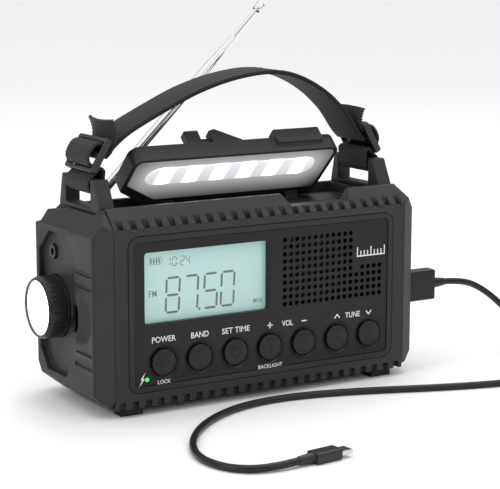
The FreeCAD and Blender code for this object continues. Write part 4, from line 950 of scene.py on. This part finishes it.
class RADIO_OT_buttons(bpy.types.Operator):
    """Seven domed buttons with raised marks, and the charge light"""

    bl_idname = "radio.buttons"
    bl_label = "Buttons"

    def execute(self, context):
        finish = finishes(context)
        rise = np.linspace(5.5, 0.05, 9)
        crown = [(37.08 + 0.38 * (1 - (radius / 5.5) ** 2), radius) for radius in rise]
        profile = [(35.7, 6.45), (36.85, 6.45), (37.08, 6.36), (37.2, 6.15), (37.2, 5.95), (37.1, 5.7)]
        profile += crown
        marks = {
            "power": [arc(2.1, 125, 415, 22), [(0, 0.7), (0, 2.7)]],
            "set_time": [arc(2.5, 0, 359, 30)],
            "volume_up": [[(-1.8, 0), (1.8, 0)], [(0, -1.8), (0, 1.8)]],
            "volume_down": [[(-1.8, 0), (1.8, 0)]],
            "tune_up": [[(-1.8, -0.9), (0, 0.9), (1.8, -0.9)]],
            "tune_down": [[(-1.8, 0.9), (0, -0.9), (1.8, 0.9)]],
        }
        ring = [(36.0, 7.3), (36.16, 7.3), (36.62, 8.45), (36.5, 8.62), (36.36, 8.7), (36.0, 8.7)]
        centres = [(BUTTON_FIRST + BUTTON_PITCH * index, 0, BUTTON_HEIGHT) for index in range(len(BUTTONS))]
        rings = [patch(placed(lathe(ring), centre, "front"), loop=True) for centre in centres]
        made("button_surrounds", rings, finish["panel"])
        for name, centre in zip(BUTTONS, centres):
            body = f"button_{name}"
            made(f"{body}_cap", [patch(placed(lathe(profile), centre, "front"))], finish["button"], body=body,
                 replaced=(body,), sharp=50)
            lines = [
                laid(patch(stroke(line, 0.5, 37.1, 37.49)), centre, "front") for line in marks.get(name, [])
            ]
            if lines:
                made(f"{body}_mark", lines, finish["icon"], body=body)
        eased("status_led", 0.2, finish["green light"])
        return {"FINISHED"}


class RADIO_OT_lid(bpy.types.Operator):
    """Hinged lid with the lamp underneath and the solar panel on top"""

    bl_idname = "radio.lid"
    bl_label = "Lid"

    def execute(self, context):
        finish = finishes(context)
        eased("lid_frame", 0.6, finish["lid frame"], body="lid")
        eased("lamp_cover", 0.3, finish["lid face"], body="lid")
        eased("lamp_diffuser", 0.3, finish["lamp"], body="lid")
        coat(finish["solar"], "solar_panel")
        coat(finish["board"], "lamp_board")
        coat(finish["steel"], "hinge_pin")
        return {"FINISHED"}


class RADIO_OT_strap(bpy.types.Operator):
    """Arched carrying strap, its buckles and the ribbed webbing that ties them to the lugs"""

    bl_idname = "radio.strap"
    bl_label = "Carrying strap"

    def execute(self, context):
        sizes = context.scene.radio_sizes
        finish = finishes(context)
        width, thick = 1000 * sizes.strap_width, 1000 * sizes.strap_thickness
        left = [buckle_point(-1, *spot) for spot in ((0.8, -3.5), (3.8, -4.3), (7.8, -5.0))]
        arch = [(-61.0, 0, 134.2), (-41.0, 0, 144.0), (-23.0, 0, 151.7), (-3.0, 0, 157.2), (17.0, 0, 159.4),
                (33.0, 0, 156.9), (49.0, 0, 149.2), (62.0, 0, 138.4)]
        right = [buckle_point(1, *spot) for spot in ((7.8, -5.0), (3.8, -4.3), (0.8, -3.5))]
        path = smooth_line(left + arch + right, 330)
        section = outline(width, thick, thick * 0.42, 5)
        made("carrying_strap_band", [patch(carried(section, path))], finish["strap"],
             replaced=("carrying_strap",), along=lengths(path, len(section)))
        stitches = []
        runs = np.concatenate([[0], np.cumsum(np.linalg.norm(np.diff(path, axis=0), axis=1))])
        _, _, over = path_frames(path, np.array([0.0, 1.0, 0.0]))
        stitch = moulded(0.45, 2.1, 0.2, soft_edge(-0.1, 0.14, 0.1, 3), 3)
        for distance in np.arange(38, runs[-1] - 38, 3.4):
            at = int(np.searchsorted(runs, distance))
            heading = path[min(at + 1, len(path) - 1)] - path[at - 1]
            heading /= np.linalg.norm(heading)
            for side in (-1, 1):
                for face in (-1, 1):
                    spot = path[at] + np.array([0, side * (width / 2 - 2.0), 0]) + face * over[at] * thick / 2
                    grid = (stitch[..., :1] * np.array([0.0, 1.0, 0.0]) + stitch[..., 1:2] * heading
                            + stitch[..., 2:] * face * over[at])
                    stitches.append(patch(spot + grid))
        made("strap_stitching", stitches, finish["strap edge"])
        for side, sign in (("left", -1), ("right", 1)):
            eased(f"{side}_buckle", 0.8, finish["buckle"])
            lug_bar, buckle_bar = (80.5 * sign, 109.75), buckle_point(sign, -6.6, -4.6)[::2]
            loop, run = ribbed(belt(lug_bar, 4.15, buckle_bar, 1.9), 25, 1.5, True)
            made(f"{side}_webbing_loop", [loop], finish["webbing"], along=run,
                 replaced=("strap_webbing",) if sign < 0 else ())
            points = [buckle_point(sign, *spot) for spot in (
                (-5.2, -1.8), (-5.6, 1.4), (-4.7, 3.6), (-2.2, 4.9), (2.2, 4.9), (4.7, 3.6), (5.6, 1.4),
                (5.2, -1.8))]
            bulge, run = ribbed(smooth_line(points, 70), 24.5, 1.6, rib=1.6)
            made(f"{side}_webbing_bulge", [bulge], finish["webbing"], along=run)
            points = [buckle_point(sign, *spot) for spot in (
                (4.4, -2.9), (8.0, -3.0), (10.8, -2.2), (13.2, -0.6), (15.2, 1.4), (16.6, 3.4))]
            tail, run = ribbed(smooth_line(points, 70), 25, 1.4, rib=1.6, curl=1.8)
            made(f"{side}_webbing_tail", [tail], finish["webbing"], along=run)
        return {"FINISHED"}


class RADIO_OT_aerial(bpy.types.Operator):
    """Telescopic aerial on its turning fork"""

    bl_idname = "radio.aerial"
    bl_label = "Aerial"

    def execute(self, context):
        finish = finishes(context)
        eased("aerial_turret", 0.3, finish["dark steel"], body="aerial_base")
        for number in (1, 2, 3, 4):
            eased(f"aerial_section_{number}", 0.15, finish["chrome"], body=f"aerial_{number}")
        return {"FINISHED"}


class RADIO_OT_torch(bpy.types.Operator):
    """Torch in the left end, its switch and the earphone jack"""

    bl_idname = "radio.torch"
    bl_label = "Torch and jack"

    def execute(self, context):
        finish = finishes(context)
        eased("torch_body", 0.3, finish["frame"])
        eased("torch_bezel", 0.4, finish["frame"])
        coat(finish["mirror"], "torch_reflector")
        coat(finish["torch light"], "torch_led")
        low, high = (1000 * np.array(corner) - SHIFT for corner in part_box("torch_lens"))
        reach, inner, radius = -low[0], -high[0], (high[2] - low[2]) / 2
        rings = np.linspace(radius - 0.5, 0.05, 40)
        ripple = reach - 0.25 + 0.12 * np.cos(rings * 4.2) + 0.1 * (1 - (rings / radius) ** 2)
        profile = [(inner, radius), (reach - 0.5, radius), (reach - 0.25, radius - 0.25)]
        profile += list(zip(ripple, rings))
        made("torch_glass", [patch(placed(lathe(profile, 64), (0, 14, 47), "left"))], finish["torch light"],
             replaced=("torch_lens",))
        eased("torch_switch", 0.3, finish["icon"], body="torch_slider")
        eased("earphone_socket", 0.15, finish["frame"])
        return {"FINISHED"}


class RADIO_OT_crank(bpy.types.Operator):
    """Winding crank with its folding knob, gears and dynamo"""

    bl_idname = "radio.crank"
    bl_label = "Crank"

    def execute(self, context):
        finish = finishes(context)
        eased("crank_arm", 0.7, finish["body"], body="crank")
        eased("crank_knob", 0.5, finish["rubber"], body="knob")
        coat(finish["steel"], "crank_shaft", "dynamo_rotor", "dynamo_can", "gear_plate")
        coat(finish["nylon"], "drive_gear", "idler_gear")
        return {"FINISHED"}


class RADIO_OT_insides(bpy.types.Operator):
    """Boards, loudspeaker, cells, ferrite rod and charging socket"""

    bl_idname = "radio.insides"
    bl_label = "Insides"

    def execute(self, context):
        finish = finishes(context)
        coat(finish["board"], "key_board", "main_board")
        coat(finish["dark steel"], "loudspeaker")
        coat(finish["cell"], "battery_cells")
        coat(finish["frame"], "battery_cradle")
        coat(finish["ferrite"], "ferrite_rod")
        coat(finish["steel"], "charging_socket")
        return {"FINISHED"}


class RADIO_PT_pieces(bpy.types.Panel):
    """Lists the steps and the sizes"""

    bl_idname = "RADIO_PT_pieces"
    bl_label = "Emergency Radio"
    bl_space_type = "VIEW_3D"
    bl_region_type = "UI"
    bl_category = "Radio"

    def draw(self, context):
        sizes = context.scene.radio_sizes
        for name in RadioSizes.__annotations__:
            self.layout.prop(sizes, name)
        for step in OPERATORS:
            self.layout.operator(step.bl_idname)


OPERATORS = (
    RADIO_OT_stage, RADIO_OT_lead, RADIO_OT_shells, RADIO_OT_panel, RADIO_OT_display, RADIO_OT_buttons,
    RADIO_OT_lid, RADIO_OT_strap, RADIO_OT_aerial, RADIO_OT_torch, RADIO_OT_crank, RADIO_OT_insides,
)
CLASSES = (RadioSizes, *OPERATORS, RADIO_PT_pieces)


def register():
    for kind in CLASSES:
        bpy.utils.register_class(kind)
    bpy.types.Scene.radio_sizes = bpy.props.PointerProperty(type=RadioSizes)


def unregister():
    del bpy.types.Scene.radio_sizes
    for kind in reversed(CLASSES):
        bpy.utils.unregister_class(kind)


def main():
    register()
    for step in OPERATORS:
        group, name = step.bl_idname.split(".")
        getattr(getattr(bpy.ops, group), name)()


if __name__ == "__main__":
    main()
